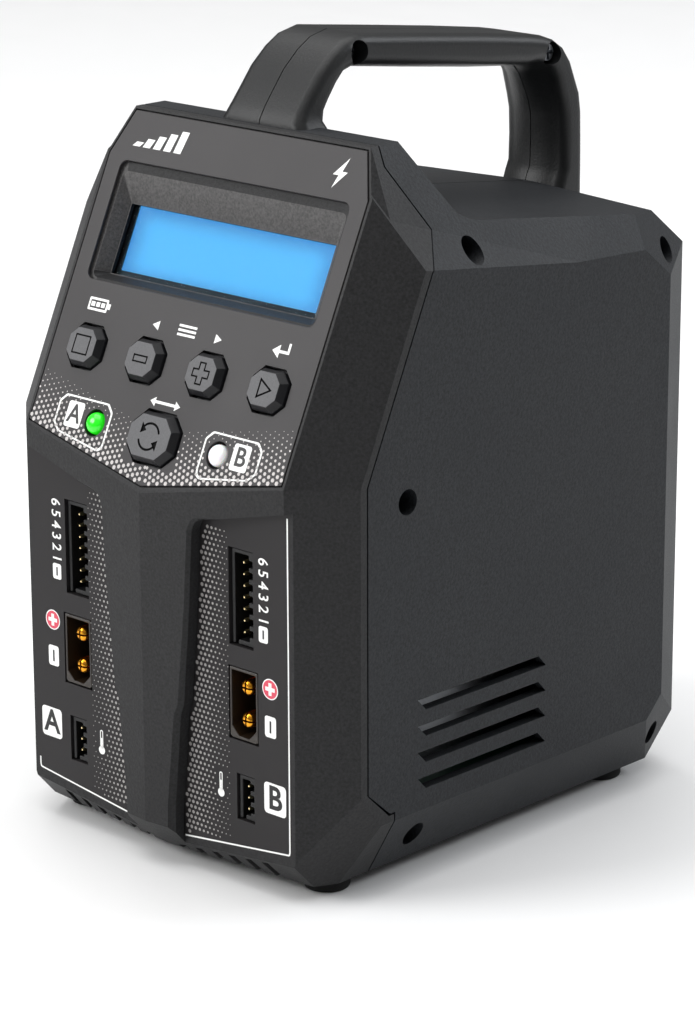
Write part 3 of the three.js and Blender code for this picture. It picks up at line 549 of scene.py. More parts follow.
# ---------- handle ----------
STATIONS = [  # outer point, inner point, half width, crown of the inner side
    ((36, 150.5), (47.6, 150.5), 14.4, 0.6), ((36.1, 153.6), (45.9, 153.4), 12.6, 0.6),
    ((36.5, 155.4), (45.4, 155.2), 11.5, 0.6), ((38, 157.8), (46.2, 157.2), 11, 0.6),
    ((40.2, 160.6), (47.6, 159.1), 10.9, 0.6), ((43.7, 164.9), (49.9, 162), 10.9, 0.6),
    ((47.9, 168.5), (51.9, 163.9), 10.9, 0.6), ((51.6, 170.7), (54.8, 164.2), 10.8, 1),
    ((56.7, 171.8), (57.2, 164), 10.7, 1), ((76.6, 169.4), (76.4, 161.4), 10.2, 1),
    ((96.6, 166.9), (96.4, 158.8), 9.7, 1), ((112.6, 164.7), (111.6, 157.1), 9.3, 1),
    ((117.4, 163.8), (114.2, 156.8), 9.2, 1.6), ((121.2, 162.5), (116.7, 156.4), 9.1, 1.6),
    ((124.3, 160.5), (118.4, 154.4), 9.1, 2.4), ((126.8, 157.4), (119.8, 152), 9, 2.4),
    ((130.2, 149.6), (121.8, 148), 9, 1.4), ((130.9, 145.3), (122.6, 144.8), 9, 1.4),
    ((131.1, 139), (122.8, 139), 9, 1.4), ((131.2, 133), (122.6, 133), 9, 1.4),
    ((131.2, 130.2), (121.6, 131), 9, 1.4), ((131.2, 124), (119.6, 126), 9, 1.4),
]


HANDLE_EDGE = 2.5
HANDLE_GAP = 0.12
LIP_GAP = 0.015
LIP_DEPTH = 0.7
HANDLE_SCREW_HOLE = 2.6


def handle_half():
    """The right half of the handle: a groove shows at the joint, and a lip closes it further in."""
    radius = HANDLE_EDGE
    bm = bmesh.new()
    rings = []
    for outer_point, inner_point, half, crown in STATIONS:
        top, low = Vector(outer_point), Vector(inner_point)
        deep = (top - low).length
        along = (top - low).normalized()
        flat = half - radius
        section = [(HANDLE_GAP, deep)]
        for i in range(7):
            turn = math.radians(90 - 15 * i)
            section.append((flat + radius * math.cos(turn), deep - radius + radius * math.sin(turn)))
        for i in range(7):
            turn = math.radians(-15 * i)
            section.append((flat + radius * math.cos(turn), crown + radius + radius * math.sin(turn)))
        for i in range(5, -1, -1):
            share = i / 6
            section.append((HANDLE_GAP + (flat - HANDLE_GAP) * share, crown * share ** 2))
        section += [(HANDLE_GAP, LIP_DEPTH), (LIP_GAP, LIP_DEPTH), (LIP_GAP, deep - LIP_DEPTH),
                    (HANDLE_GAP, deep - LIP_DEPTH)]
        ring = []
        for x, rise in section:
            point = low + along * rise
            ring.append(bm.verts.new((x, point.x, point.y)))
        rings.append(ring)
    skinned(bm, rings)
    bm.faces.new(rings[0])
    bm.faces.new(rings[-1])
    bmesh.ops.recalc_face_normals(bm, faces=bm.faces)
    return to_object(bm, "handle")


handle_right = handle_half()
handle_left = flipped(handle_right, "handle_left")
boolean(handle_right, [prism(circle(y, z, HANDLE_SCREW_HOLE, 28), 5, 30, ALONG_X) for y, z in HANDLE_SCREWS])
place(handle_right, "handle_right", HANDLE, "case_plastic", sharp=40)
place(handle_left, "handle_left", HANDLE, "case_plastic", sharp=40)

# ---------- front bezel ----------
NOSE_EDGE = [(9.4, 35.6), (10.4, 38), (12.4, 60), (13.4, 76.2), (14.4, 79)]
POCKET = rounded_corners([(6.9, -5), (7.4, 15), *NOSE_EDGE, (38.3, 84.6), (46, 86.6), (46, -5)], {6: 3.2}, 6)
POCKET_RIM = rounded_corners([(5.9, -5), (6.4, 15), (8.4, 35.6), (9.4, 38), (11.4, 60), (12.4, 76.7),
                             (13.5, 80), (38.3, 85.5), (46, 87.5), (46, -5)], {6: 3.2}, 6)
PLATE_EDGE = [(6.3, 6.9), (7.2, 15), (9.2, 35.6), (10.2, 38), (12.2, 60), (13.2, 76.4), (14.4, 80),
              (39, 85.7), (39, 10.6)]
PLATE_THICK = 1.2
PLATE_SEAT = 1.3
OVERLAY = [(-37.9, 0.5), (0, -7.1), (37.9, 0.5), (38.1, 60.5), (34, 70.6), (-34, 70.6), (-38.1, 60.5)]
LCD_OUTER = rect(-33.6, 33.6, 33.0, 59.2, 1.8)
LCD_INNER = rect(-30.8, 29.8, 35.2, 51.1, 0.25)
# x, z, width and height of the balance, power and temperature ports.
PORTS = [(24.8, 63.8, 6.4, 20.4), (25.2, 40.7, 8, 15.4), (25.6, 20.3, 4.6, 9.6)]
SLOTS_PER_SIDE = 6
SLOT_STEP = 5.05
LCD_DEPTH = 3.7
FILM_SEAT = 0.9


def port_holes(side, slack, w0, w1):
    holes = []
    for x, z, width, height in PORTS:
        a, b = width / 2 + slack, height / 2 + slack
        holes.append(prism(rect(side * x - a, side * x + a, z - b, z + b), w0, w1, FRONT))
    return holes


def chin_slots(side):
    slots = []
    for i in range(SLOTS_PER_SIDE):
        x = 4 + SLOT_STEP * i
        front, back = 6.0 - 0.02 * x, 11.5 + 0.05 * x
        slot = [(x, front), (x + 2.0, front - 0.2), (x + 3.6, back), (x + 1.6, back)]
        slots.append(prism(slot if side > 0 else mirror(slot), -6, 7.5))
    return slots


def key_openings(small, large, w0, w1):
    """Openings for the four small keys and the channel key: width, height and cut corner of each kind."""
    openings = [prism(octagon(x, KEY_V, *small), w0, w1, PANEL) for x in KEY_X]
    return openings + [prism(octagon(0, CHANNEL_V, *large), w0, w1, PANEL)]


def light_openings(radius, w0, w1):
    return [prism(circle(side * LIGHT_X, CHANNEL_V, radius), w0, w1, PANEL) for side in (1, -1)]


bezel = copy_of(outer, "bezel")
boolean(bezel, [prism([(-30, -5), *seam(-SEAM_GAP), (-30, 180)], -70, 70, ALONG_X)], "INTERSECT")
lower_void = faceted("lower_void", SHARED + [PANEL_FACET], 160, WALL,
                     [((0, 8.4, 0), (1, 8.4, 0), (0, 8.4, 1)), ((0, 0, 84), (1, 0, 84), (0, 1, 84))])
bm = bmesh.new()
bmesh.ops.create_cube(bm, size=1, matrix=Matrix.Translation((0, 70, 120))
                      @ Matrix.Diagonal((120, 180, 71, 1)))
for facet in SHARED + [HUMP_SIDE]:
    shaved(bm, facet, WALL)
    shaved(bm, mirrored_facet(facet, -1), WALL)
shaved(bm, PANEL_FACET, 4.6)
bmesh.ops.recalc_face_normals(bm, faces=bm.faces)
upper_void = to_object(bm, "upper_void")
boolean(bezel, [lower_void, upper_void])
boolean(bezel, [prism(OVERLAY, -FILM_SEAT, 3, PANEL),
                loft("lcd_cut", [(LCD_INNER, -LCD_DEPTH), (LCD_OUTER, 0.02)], PANEL)])
boolean(bezel, [prism(rect(-30.6, 29.6, 35.4, 50.9), -8, -3.6, PANEL)])
for side in (1, -1):
    outlines = (POCKET, POCKET_RIM, PLATE_EDGE)
    pocket, rim, seat = outlines if side > 0 else map(mirror, outlines)
    boolean(bezel, [loft("pocket", [(pocket, 0), (pocket, 2.75), (rim, 4.0), (rim, 12)], FRONT)])
    boolean(bezel, [prism(seat, -PLATE_SEAT, 0.4, FRONT)])
    boolean(bezel, port_holes(side, 0.3, -9, 3) + chin_slots(side))
for side, letter in ((-1, "a"), (1, "b")):
    edge = PLATE_EDGE if side > 0 else mirror(PLATE_EDGE)
    plate = boolean(prism(edge, -PLATE_THICK, 0, FRONT), port_holes(side, 0.32, -5, 3))
    place(plate, "port_plate_" + letter, PLATE, "port_plate", replaces=["port_panel_" + letter], smooth=False)
boolean(bezel, key_openings((10.8, 9.8, 2.5), (14.6, 11.6, 3.2), -8, 2) + light_openings(2.8, -8, 2))
# Behind the wells the bezel gives the flanges of the keys their travel.
boolean(bezel, key_openings((13, 12.4, 3.2), (17.6, 14.2, 4), -12, -2.3))
drop(hollow)
drop(outer)
place(bezel, "bezel_shell", BEZEL, "bezel_plastic", replaces=["front_bezel"])
# The upper and side walls round the display get a lighter copy of the bezel finish: painted light, standing
# in for light the lamps don't put on these walls.
bezel.data.materials.append(RECESS_PAINTED_LIGHT)
ROW_TO_PANEL = (TO_ROW @ PANEL).inverted()
for face in bezel.data.polygons:
    spot = ROW_TO_PANEL @ face.center
    if -4 < spot.z < -0.1 and abs(spot.x) < 33.8 and 36 < spot.y < 59.4:
        face.material_index = 1

# ---------- overlay film ----------
FILM_SCALE = 0.993
FILM_MIDDLE = 30
FILM_TOP = 0.12
film_edge = [(u * FILM_SCALE, (v - FILM_MIDDLE) * FILM_SCALE + FILM_MIDDLE) for u, v in OVERLAY]
film = prism(film_edge, -0.6, FILM_TOP, PANEL)
boolean(film, [prism(LCD_OUTER, -2, 2, PANEL)])
bevelled(film, 0.22, 2, 40)
boolean(film, key_openings((11, 10, 2.6), (14.8, 11.8, 3.3), -2, 2) + light_openings(2.95, -2, 2))
place(film, "overlay_film", FILM, "overlay_film", replaces=["control_overlay"])

# ---------- display ----------
LIT_HALF = 30.4
LIT_LOW, LIT_HIGH = 34.6, 51.5
screen = prism(rect(-LIT_HALF, LIT_HALF, LIT_LOW, LIT_HIGH), -5.34, -5.3, PANEL)
layer = screen.data.uv_layers.new(name="UVMap")
inverse = PANEL.inverted()
for loop in screen.data.loops:
    spot = inverse @ screen.data.vertices[loop.vertex_index].co
    layer.data[loop.index].uv = ((spot.x + LIT_HALF) / (2 * LIT_HALF),
                                 (spot.y - LIT_LOW) / (LIT_HIGH - LIT_LOW))
place(screen, "display_face", BACKLIGHT, "display_light", smooth=False)
collar = prism(rect(-33, 33, 31.5, 56), -5.3, -5.05, PANEL)
boolean(collar, [prism(rect(-29.4, 29.9, 36.6, 51.6), -9, 9, PANEL)])
place(collar, "display_mask", MASK, "socket_black", smooth=False)


# ---------- keys ----------
KEY_TOP = 2.05
GROOVE = 0.32
KEY_SIZE = (10, 9, 2.2)
CHANNEL_SIZE = (13.8, 10.8, 2.9)
STEEPEST_TOP = 0.85
ARC = 115
ARROW_TURN = 152
BARB = 1.1


def polar(u, v, radius, turn):
    return u + radius * math.cos(turn), v + radius * math.sin(turn)


def arrow_ring(u, v, radius, width):
    """Two curved arrows chasing each other."""
    parts = []
    for start in (20, 200):
        turns = [math.radians(start + ARC * i / 10) for i in range(11)]
        arc = [polar(u, v, radius + width / 2, turn) for turn in turns]
        parts.append(arc + [polar(u, v, radius - width / 2, turn) for turn in reversed(turns)])
        end = math.radians(start + ARC)
        tip = math.radians(start + ARROW_TURN)
        parts.append([polar(u, v, radius + BARB, end), polar(u, v, radius, tip),
                      polar(u, v, radius - BARB, end)])
    return parts


def key(name, u, v, width, height, corner, marks):
    """A faceted cap with a plateau that carries engraved marks, each an outline and its inner outline."""
    skirt = octagon(u, v, width, height, corner)
    shoulder = octagon(u, v, width - 0.2, height - 0.2, corner - 0.05)
    crown = octagon(u, v, width - 2.0, height - 1.9, corner - 0.35)
    flange = octagon(u, v, width + 2.4, height + 2.4, corner + 0.7)
    cap = loft(name, [(flange, -4), (flange, -2.7), (skirt, -2.7), (shoulder, 0.35), (crown, KEY_TOP)], PANEL)
    bevelled(cap, 0.14, 2, 20)
    for outer_line, inner_line in marks:
        groove = prism(outer_line, KEY_TOP - GROOVE, 3.5, PANEL)
        if inner_line:
            boolean(groove, [prism(inner_line, 1, 4, PANEL)])
        boolean(cap, [groove])
    place(cap, name + "_cap", KEY, "key_rubber", body=name, replaces=[name])
    cap.data.materials.append(ENGRAVED)
    cap.data.materials.append(KEY_PAINTED_SHADE)
    # Steep facets outside the grooves take the darker side finish, painted shade on the sides of the cap;
    # facets in the grooves take the engraving.
    facing = (TO_ROW @ PANEL).to_3x3().col[2].normalized()
    groove_floor = KEY_TOP - GROOVE
    for face in cap.data.polygons:
        spot = ROW_TO_PANEL @ face.center
        if face.normal.dot(facing) < STEEPEST_TOP:
            in_groove = spot.z > groove_floor - 0.1 and is_inside(spot, crown)
            face.material_index = 1 if in_groove else 2
        elif abs(spot.z - groove_floor) < 0.03:
            face.material_index = 1


def is_inside(spot, outline):
    """Whether a point lies well inside a convex counter-clockwise outline."""
    for (u0, v0), (u1, v1) in zip(outline, outline[1:] + outline[:1]):
        side = Vector((u1 - u0, v1 - v0)).normalized()
        if side.x * (spot.y - v0) - side.y * (spot.x - u0) < 0.3:
            return False
    return True


def box_mark(u, v, width, height):
    return rect(u - width / 2, u + width / 2, v - height / 2, v + height / 2)


key("stop_key", KEY_X[0], KEY_V, *KEY_SIZE,
    [(box_mark(KEY_X[0], KEY_V, 4.7, 4.3), box_mark(KEY_X[0], KEY_V, 4.0, 3.6))])
key("minus_key", KEY_X[1], KEY_V, *KEY_SIZE,
    [(box_mark(KEY_X[1], KEY_V, 4.2, 1.7), box_mark(KEY_X[1], KEY_V, 3.5, 1.0))])


def cross(u, v, reach, half):
    ring = [(half, half), (half, reach), (-half, reach), (-half, half), (-reach, half), (-reach, -half),
            (-half, -half), (-half, -reach), (half, -reach), (half, -half), (reach, -half), (reach, half)]
    return [(u + p, v + q) for p, q in ring]


key("plus_key", KEY_X[2], KEY_V, *KEY_SIZE,
    [(cross(KEY_X[2], KEY_V, 2.45, 0.95), cross(KEY_X[2], KEY_V, 2.1, 0.6))])
START = [(25.6, 16.4), (29.5, 18.6), (25.6, 20.8)]
START_IN = [(26.0, 17.1), (28.7, 18.6), (26.0, 20.1)]
key("start_key", KEY_X[3], KEY_V, *KEY_SIZE, [(START, START_IN)])
key("channel_key", 0, CHANNEL_V, *CHANNEL_SIZE,
    [(outline, None) for outline in arrow_ring(0, CHANNEL_V, 2.8, 0.5)])

# ---------- indicator lights ----------
LENS_PROFILE = ((2.35, -4), (2.35, -0.5), (2.3, -0.1), (2.12, 0.35), (1.8, 0.75), (1.35, 1.05), (0.8, 1.23),
                (0.3, 1.3))
for side, finish, slot, letter in ((-1, GREEN, "green_lens", "a"), (1, MILK, "white_lens", "b")):
    rings = [(circle(side * LIGHT_X, CHANNEL_V, radius), w) for radius, w in LENS_PROFILE]
    place(loft("lens", rings, PANEL), "light_dome_" + letter, finish, slot,
          replaces=["light_guide_" + letter], sharp=60)

# ---------- printing ----------
INKED = {}
ON_FILM = (0.13, 0.17)
ON_PLATE = (0.01, 0.05)
ON_BADGE = (0.05, 0.07)


def ink(kind, outline, plane, heights=ON_FILM, inner=None, mirrored=False):
    """Adds a flat mark with an optional hole of the same number of points to one kind of print."""
    if mirrored:
        outline, inner = mirror(outline), inner and mirror(inner)
    INKED.setdefault(kind, []).append((outline, inner, plane, *heights))


def press(name, finish, slot, kind):
    """All the marks of one kind as one thin printed layer."""
    bm = bmesh.new()
    for points, inner, plane, w0, w1 in INKED[kind]:
        top = [bm.verts.new(plane @ Vector((u, v, w1))) for u, v in points]
        low = [bm.verts.new(plane @ Vector((u, v, w0))) for u, v in points]
        for i in range(len(top)):
            after = (i + 1) % len(top)
            bm.faces.new((low[i], low[after], top[after], top[i]))
        if inner:
            hole = [bm.verts.new(plane @ Vector((u, v, w1))) for u, v in inner]
            for i in range(len(top)):
                after = (i + 1) % len(top)
                bm.faces.new((top[i], top[after], hole[after], hole[i]))
        else:
            bm.faces.new(top)
    place(to_object(bm, name), name, finish, slot, smooth=False)


def glyph(text, size, u, v, plane, w, weight, turn=0.0, squeeze=1.0):
    curve = bpy.data.curves.new("glyph", "FONT")
    curve.body = text
    curve.size = size
    curve.align_x = "CENTER"
    curve.align_y = "CENTER"
    curve.extrude = 0.02
    curve.offset = size * weight
    curve.resolution_u = 4
    holder = bpy.data.objects.new("glyph", curve)
    bpy.context.scene.collection.objects.link(holder)
    bpy.context.view_layer.update()
    graph = bpy.context.evaluated_depsgraph_get()
    mesh = bpy.data.meshes.new_from_object(holder.evaluated_get(graph))
    drop(holder)
    mesh.transform(plane @ Matrix.Translation((u, v, w)) @ Matrix.Rotation(turn, 4, "Z")
                   @ Matrix.Diagonal((squeeze, 1, 1, 1)))
    made = bpy.data.objects.new("glyph", mesh)
    bpy.context.scene.collection.objects.link(made)
    return made


def joined(objects, name):
    bm = bmesh.new()
    for obj in objects:
        bm.from_mesh(obj.data)
        drop(obj)
    return to_object(bm, name)


# Outlines round each light and its letter: the lower side follows the slanted edge of the film.
for side in (1, -1):
    shape = [(13.9, -2.6), (28.4, -0.2), (30.2, 1.5), (30.2, 6.4), (28.6, 8.0), (15.6, 8.0), (13.9, 6.3)]
    outline = rounded_corners(shape, {0: 1.6, 1: 0.9, 2: 0.9, 3: 0.9, 4: 0.9, 5: 0.9, 6: 0.9}, 4)
    centre_u, centre_v = 22.05, 3.2
    inside = [(centre_u + (u - centre_u) * 0.945, centre_v + (v - centre_v) * 0.92) for u, v in outline]
    ink("white", outline, PANEL, inner=inside, mirrored=side < 0)
    ink("white", rect(22.4, 27.2, 1.2, 6.8, 0.6), PANEL, mirrored=side < 0)
# Key marks in place of words: battery, list bars, arrows.
ink("white", rect(-30.4, -24.6, 26.4, 29.2, 0.3), PANEL, inner=rect(-29.9, -25.1, 26.9, 28.7, 0.05))
ink("white", rect(-24.5, -23.8, 27.2, 28.4), PANEL)
for i in range(3):
    ink("white", rect(-29.6 + 1.5 * i, -28.5 + 1.5 * i, 27.3, 28.3), PANEL)
ink("white", [(-8.3, 25.4), (-8.3, 27.4), (-10.2, 26.4)], PANEL)
ink("white", [(8.3, 25.4), (10.2, 26.4), (8.3, 27.4)], PANEL)
for i in range(3):
    ink("white", rect(-2.6, 2.6, 25.4 + 0.95 * i, 25.9 + 0.95 * i), PANEL)
ink("white", [(24.6, 26.9), (26.6, 25.5), (26.6, 26.6), (29.4, 26.6), (29.4, 28.9), (28.8, 28.9),
              (28.8, 27.2), (26.6, 27.2), (26.6, 28.3)], PANEL)
ink("white", [(-4.4, 10.9), (-2.9, 9.9), (-2.9, 10.6), (2.9, 10.6), (2.9, 9.9), (4.4, 10.9), (2.9, 11.9),
              (2.9, 11.2), (-2.9, 11.2), (-2.9, 11.9)], PANEL)
# Plain charge-level bars and a bolt at the head of the panel.
for i in range(5):
    u = -31.6 + 3.1 * i
    ink("white", [(u, 62.6), (u + 2.1, 62.6), (u + 3.1, 63.6 + 0.95 * i), (u + 1.0, 63.6 + 0.95 * i)], PANEL)
ink("white", [(27.2, 61.6), (30.4, 65.2), (28.9, 65.2), (30.0, 68.2), (26.6, 64.4), (28.2, 64.4)], PANEL)


def hexagon(u, v, radius):
    turns = [math.radians(60 * i) for i in reversed(range(6))]
    return [(u + radius * math.sin(turn), v + radius * math.cos(turn)) for turn in turns]


DOT_PITCH = 1.34
DOT_RADIUS = 0.5
DOT_FADE = 13.5
SMALLEST_DOT = 0.07
EDGE_TILT = math.atan(7.6 / 37.9)
FILM_TIP = Vector((0, -7.1))
PORT_ROW = 1.165
PORT_COLUMN = 1.22
PORT_DOT_RADIUS = 0.47
NOSE_SIDE = [(7.2, 0), (7.4, 15), (9.4, 35.6), (10.4, 38), (12.4, 60), (13.4, 76.2), (15.5, 80)]


def is_dot_free(u, v):
    """The keys, the lights, their badges and the arrow over the channel key keep clear of dots."""
    on_key = abs(u) < 7.5 and abs(v - CHANNEL_V) < 6
    on_light = math.hypot(abs(u) - LIGHT_X, v - CHANNEL_V) < 3.3
    on_badge = 22.4 < abs(u) < 27.2 and 1.1 < v < 6.9
    on_arrow = abs(u) < 4.8 and 9.5 < v < 12.3
    over_key = any(abs(u - x) < 5.6 for x in KEY_X) and v > KEY_V - 5.2
    return on_key or on_light or on_badge or on_arrow or over_key


def halftone_panel():
    """Dots in columns square to the slanted lower edge, fading upwards."""
    along = Vector((math.cos(EDGE_TILT), math.sin(EDGE_TILT)))
    up = Vector((-along.y, along.x))
    for column in range(40):
        for step in range(14):
            rise = 0.75 + DOT_PITCH * (step + 0.5 * (column % 2))
            radius = DOT_RADIUS * (1 - (rise - 0.5) / DOT_FADE)
            spot = FILM_TIP + along * (column * DOT_PITCH * 0.866) + up * rise
            if radius < SMALLEST_DOT or spot.x < 0 or spot.x > 37.4 or is_dot_free(*spot):
                continue
            for mirrored in (False, True):
                ink("panel_dots", hexagon(spot.x, spot.y, radius), PANEL, mirrored=mirrored)


def nose_side(z):
    """Where the side of the nose meets the port plate, for z from 0 to 80."""
    for (x0, z0), (x1, z1) in zip(NOSE_SIDE, NOSE_SIDE[1:]):
        if z0 <= z <= z1:
            return x0 + (x1 - x0) * (z - z0) / (z1 - z0)
    return NOSE_SIDE[-1][0]


def halftone_ports():
    """Dots in level rows on the port plates, fading away from the nose."""
    for row in range(60):
        z = 8.5 + PORT_ROW * row
        start = nose_side(z) + 0.35
        for column in range(13):
            x = 7.4 + PORT_COLUMN * (column + 0.5 * (row % 2))
            radius = PORT_DOT_RADIUS * (1 - 0.8 * (x - start) / (21.5 - start))
            on_sign = abs(x - 18.3) < 1.4 and 18.2 < z < 25.4
            below_line = z < 8.2 + 0.123 * (x - 7)
            if x < start or x > 21.4 or below_line or on_sign or radius < SMALLEST_DOT:
                continue
            for mirrored in (False, True):
                ink("port_dots", hexagon(x, z, radius), FRONT, ON_PLATE, mirrored=mirrored)


halftone_panel()
halftone_ports()
glyphs = {"white": [], "dark": []}
for side, letter in ((-1, "A"), (1, "B")):
    flip = side < 0
    ink("white", [(7.3, 7.1), (37.9, 10.85), (37.9, 11.2), (7.3, 7.45)], FRONT, ON_PLATE, mirrored=flip)
    top = 13.4 if flip else 83.6
    ink("white", [(38.1, 11.7), (38.45, 11.7), (38.45, top), (38.1, top)], FRONT, ON_PLATE, mirrored=flip)
    ink("white", [(37.9, 10.85), (38.3, 11.05), (38.45, 11.7), (38.1, 11.7), (37.9, 11.2)], FRONT, ON_PLATE,
        mirrored=flip)
    for i, digit in enumerate("654321"):
        glyphs["white"].append(glyph(digit, 3.9, side * 31.2, 73.0 - 2.52 * i, FRONT, 0.03, 0.008,
                                     turn=-math.pi / 2, squeeze=0.9))
    ink("white", rect(29.9, 32.5, 55.7, 59.2, 0.5), FRONT, ON_PLATE, mirrored=flip)
    ink("dark", rect(30.97, 31.43, 56.5, 58.4), FRONT, ON_BADGE, mirrored=flip)
    ink("white", circle(33 * side, 46.1, 2.25), FRONT, (0.01, 0.04))
    ink("red", circle(33 * side, 46.1, 2.0), FRONT, (0.04, 0.06))
    ink("white", cross(33 * side, 46.1, 1.35, 0.42)[::-1], FRONT, (0.06, 0.08))
    ink("white", rect(31.4, 34.6, 35.6, 40.2, 0.6), FRONT, ON_PLATE, mirrored=flip)
    ink("dark", rect(32.75, 33.25, 36.6, 39.2), FRONT, ON_BADGE, mirrored=flip)
    ink("white", rect(31.0, 37.3, 18.9, 25.7, 0.9), FRONT, ON_PLATE, mirrored=flip)
    glyphs["dark"].append(glyph(letter, 7.2, side * 34.15, 22.3, FRONT, 0.06, 0.022))
    glyphs["dark"].append(glyph(letter, 5.6, side * 24.8, 4.0, PANEL, 0.18, 0.018))
    ink("white", rect(17.85, 18.75, 20.2, 24.4, 0.4), FRONT, ON_PLATE,
        inner=rect(18.08, 18.52, 20.6, 24.15, 0.18), mirrored=flip)
    ink("white", circle(18.3, 19.8, 0.95, 24), FRONT, ON_PLATE, mirrored=flip)
    ink("white", rect(18.12, 18.48, 20.2, 22.6), FRONT, (0.05, 0.06), mirrored=flip)
press("white_marks", INK, "overlay_film", "white")
press("panel_dots", DOT_INK, "overlay_film", "panel_dots")
press("port_dots", PORT_DOT_INK, "port_plate", "port_dots")
press("dark_marks", DARK_INK, "overlay_film", "dark")
press("red_marks", RED_INK, "overlay_film", "red")
place(joined(glyphs["white"], "g"), "white_numbers", INK, "overlay_film", smooth=False)
place(joined(glyphs["dark"], "g"), "dark_letters", DARK_INK, "overlay_film", smooth=False)


# ---------- contacts ----------
CONTACT_PROFILE = ((0.7, 0), (1.2, 0.15), (1.55, 0.5), (1.72, 1.0), (1.75, 3.0), (1.6, 4.2), (1.75, 4.6))
SPLIT_HALF = 0.22
SPLIT_REACH = 2.4
SPLIT_DEPTH = 3.4


def bullet(name, x, z, tip, root, replaces):
    """A split round contact; tip and root are distances behind the nose."""
    way = 1 if root > tip else -1
    profile = (*CONTACT_PROFILE, (1.75, abs(root - tip)))
    rings = [(circle(x, z, radius, 28), -(tip + way * along)) for radius, along in profile]
    pin = loft(name, rings, ALONG_Y)
    reach = sorted((-(tip - way * 1), -(tip + way * SPLIT_DEPTH)))
    for a, b in ((SPLIT_REACH, SPLIT_HALF), (SPLIT_HALF, SPLIT_REACH)):
        boolean(pin, [prism(rect(x - a, x + a, z - b, z + b), *reach, ALONG_Y)])
    place(pin, name, GOLD, "gold_pin", replaces=replaces, sharp=45)


for side, letter in ((-1, "a"), (1, "b")):
    bullet("bullet_plus_" + letter, side * 25.2, 44.3, 5.3, 12.7, ["output_pin_plus_" + letter])
    bullet("bullet_minus_" + letter, side * 25.2, 37.1, 5.3, 12.7, ["output_pin_minus_" + letter])
bullet("bullet_input_plus", 13, 41.6, 123.3, 116.1, ["dc_pin_plus"])
bullet("bullet_input_minus", 13, 34.4, 123.3, 116.1, ["dc_pin_minus"])


# ---------- port housings ----------
PIN_PITCH = 2.5
PIN_HALF = 0.34
HOUSING_BACK = -14.6
HEADER_WALL = 0.85
NOTCH_HALF = 0.75
NOTCH_BACK = -9.5


def header(name, x, z, width, height, pins, front, replaces):
    """A header housing set a little behind the plate, with a notch beside every pin."""
    a, b = width / 2, height / 2
    left = x - a + HEADER_WALL
    body = prism(rect(x - a, x + a, z - b, z + b), HOUSING_BACK, -front, ALONG_Y)
    boolean(body, [prism(rect(left, x + a - 1.5, z - b + 0.9, z + b - 0.9), -13.4, -2, ALONG_Y)])
    rows = [z + PIN_PITCH * (i - (pins - 1) / 2) for i in range(pins)]
    notches = [rect(x + a - 1.9, x + a - 0.45, at - NOTCH_HALF, at + NOTCH_HALF) for at in rows]
    boolean(body, [prism(notch, NOTCH_BACK, -2, ALONG_Y) for notch in notches])
    boolean(body, [prism(rect(left, left + 0.9, z - b - 1, z - b + 1.2), NOTCH_BACK, -2, ALONG_Y)])
    bevelled(body, 0.12, 1, 40)
    place(body, name, NYLON, "socket_black", replaces=replaces[:1])
    row = []
    for at in rows:
        square, point = (rect(x - h, x + h, at - h, at + h) for h in (PIN_HALF, PIN_HALF / 2))
        row.append(loft("pin", [(square, -12.6), (square, -front - 0.9), (point, -front - 0.35)], ALONG_Y))
    place(joined(row, "pins"), name.replace("header", "pins"), PALE_GOLD, "tinned_pin",
          replaces=replaces[1:])


def hexagonal(x, z, a, b, corner):
    return [(x - a, z + b), (x - a, z - b + corner), (x - a + corner, z - b), (x + a - corner, z - b),
            (x + a, z - b + corner), (x + a, z + b)]


for side, letter in ((-1, "a"), (1, "b")):
    x, z, width, height = PORTS[0]
    header("balance_header_" + letter, side * x, z, width, height, 7, 5.35,
           ["balance_port_" + letter, "balance_pins_" + letter])
    x, z, width, height = PORTS[2]
    header("temperature_header_" + letter, side * x, z, width, height, 3, 5.2,
           ["temp_port_" + letter, "temp_pins_" + letter])
    x, z, width, height = PORTS[1]
    socket = prism(hexagonal(side * x, z, width / 2, height / 2, 0.5), HOUSING_BACK, -4.75, ALONG_Y)
    boolean(socket, [prism(hexagonal(side * x, z, width / 2 - 0.5, height / 2 - 0.6, 2.1), -13, 0, ALONG_Y)])
    bevelled(socket, 0.12, 1, 40)
    place(socket, "power_socket_" + letter, AMBER_BLACK, "socket_black", replaces=["output_socket_" + letter])

# ---------- feet ----------
FOOT_X = 36
FOOT_PROFILE = ((3.2, 0), (4.3, 0.02), (4.75, 0.2), (4.95, 0.7), (4.9, 2.4), (4.6, 2.9), (1.5, 2.95),
                (1.5, 6))
for across, across_name in ((-1, "left"), (1, "right")):
    for y, along_name in ((18, "front"), (107, "rear")):
        rings = [(circle(FOOT_X * across, y, radius), z) for radius, z in FOOT_PROFILE]
        place(loft("foot", rings), f"foot_pad_{across_name}_{along_name}", RUBBER, "foot_rubber",
              replaces=[f"foot_{across_name}_{along_name}"], sharp=50)

# ---------- finishes of the pieces kept from the frame ----------
KEPT = {
    "rear_panel": SHELL, "lcd_window": CLEAR, "lcd_module": MASK,
    "key_board": BOARD, "port_board": BOARD, "main_board": BOARD, "heat_sink": ALLOY, "transformer": CORE,
    "input_capacitor": SLEEVE, "output_capacitor": SLEEVE, "fan_frame": NYLON, "fan_rotor": NYLON,
    "ac_inlet": NYLON, "dc_input_socket": NYLON, "usb_port": STEEL,
    "ac_pin_left": STEEL, "ac_pin_right": STEEL,
}
for name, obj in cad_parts.items():
    finish = KEPT.get(name, STEEL if "screw" in name else SHELL)
    obj.data.materials.clear()
    obj.data.materials.append(finish)

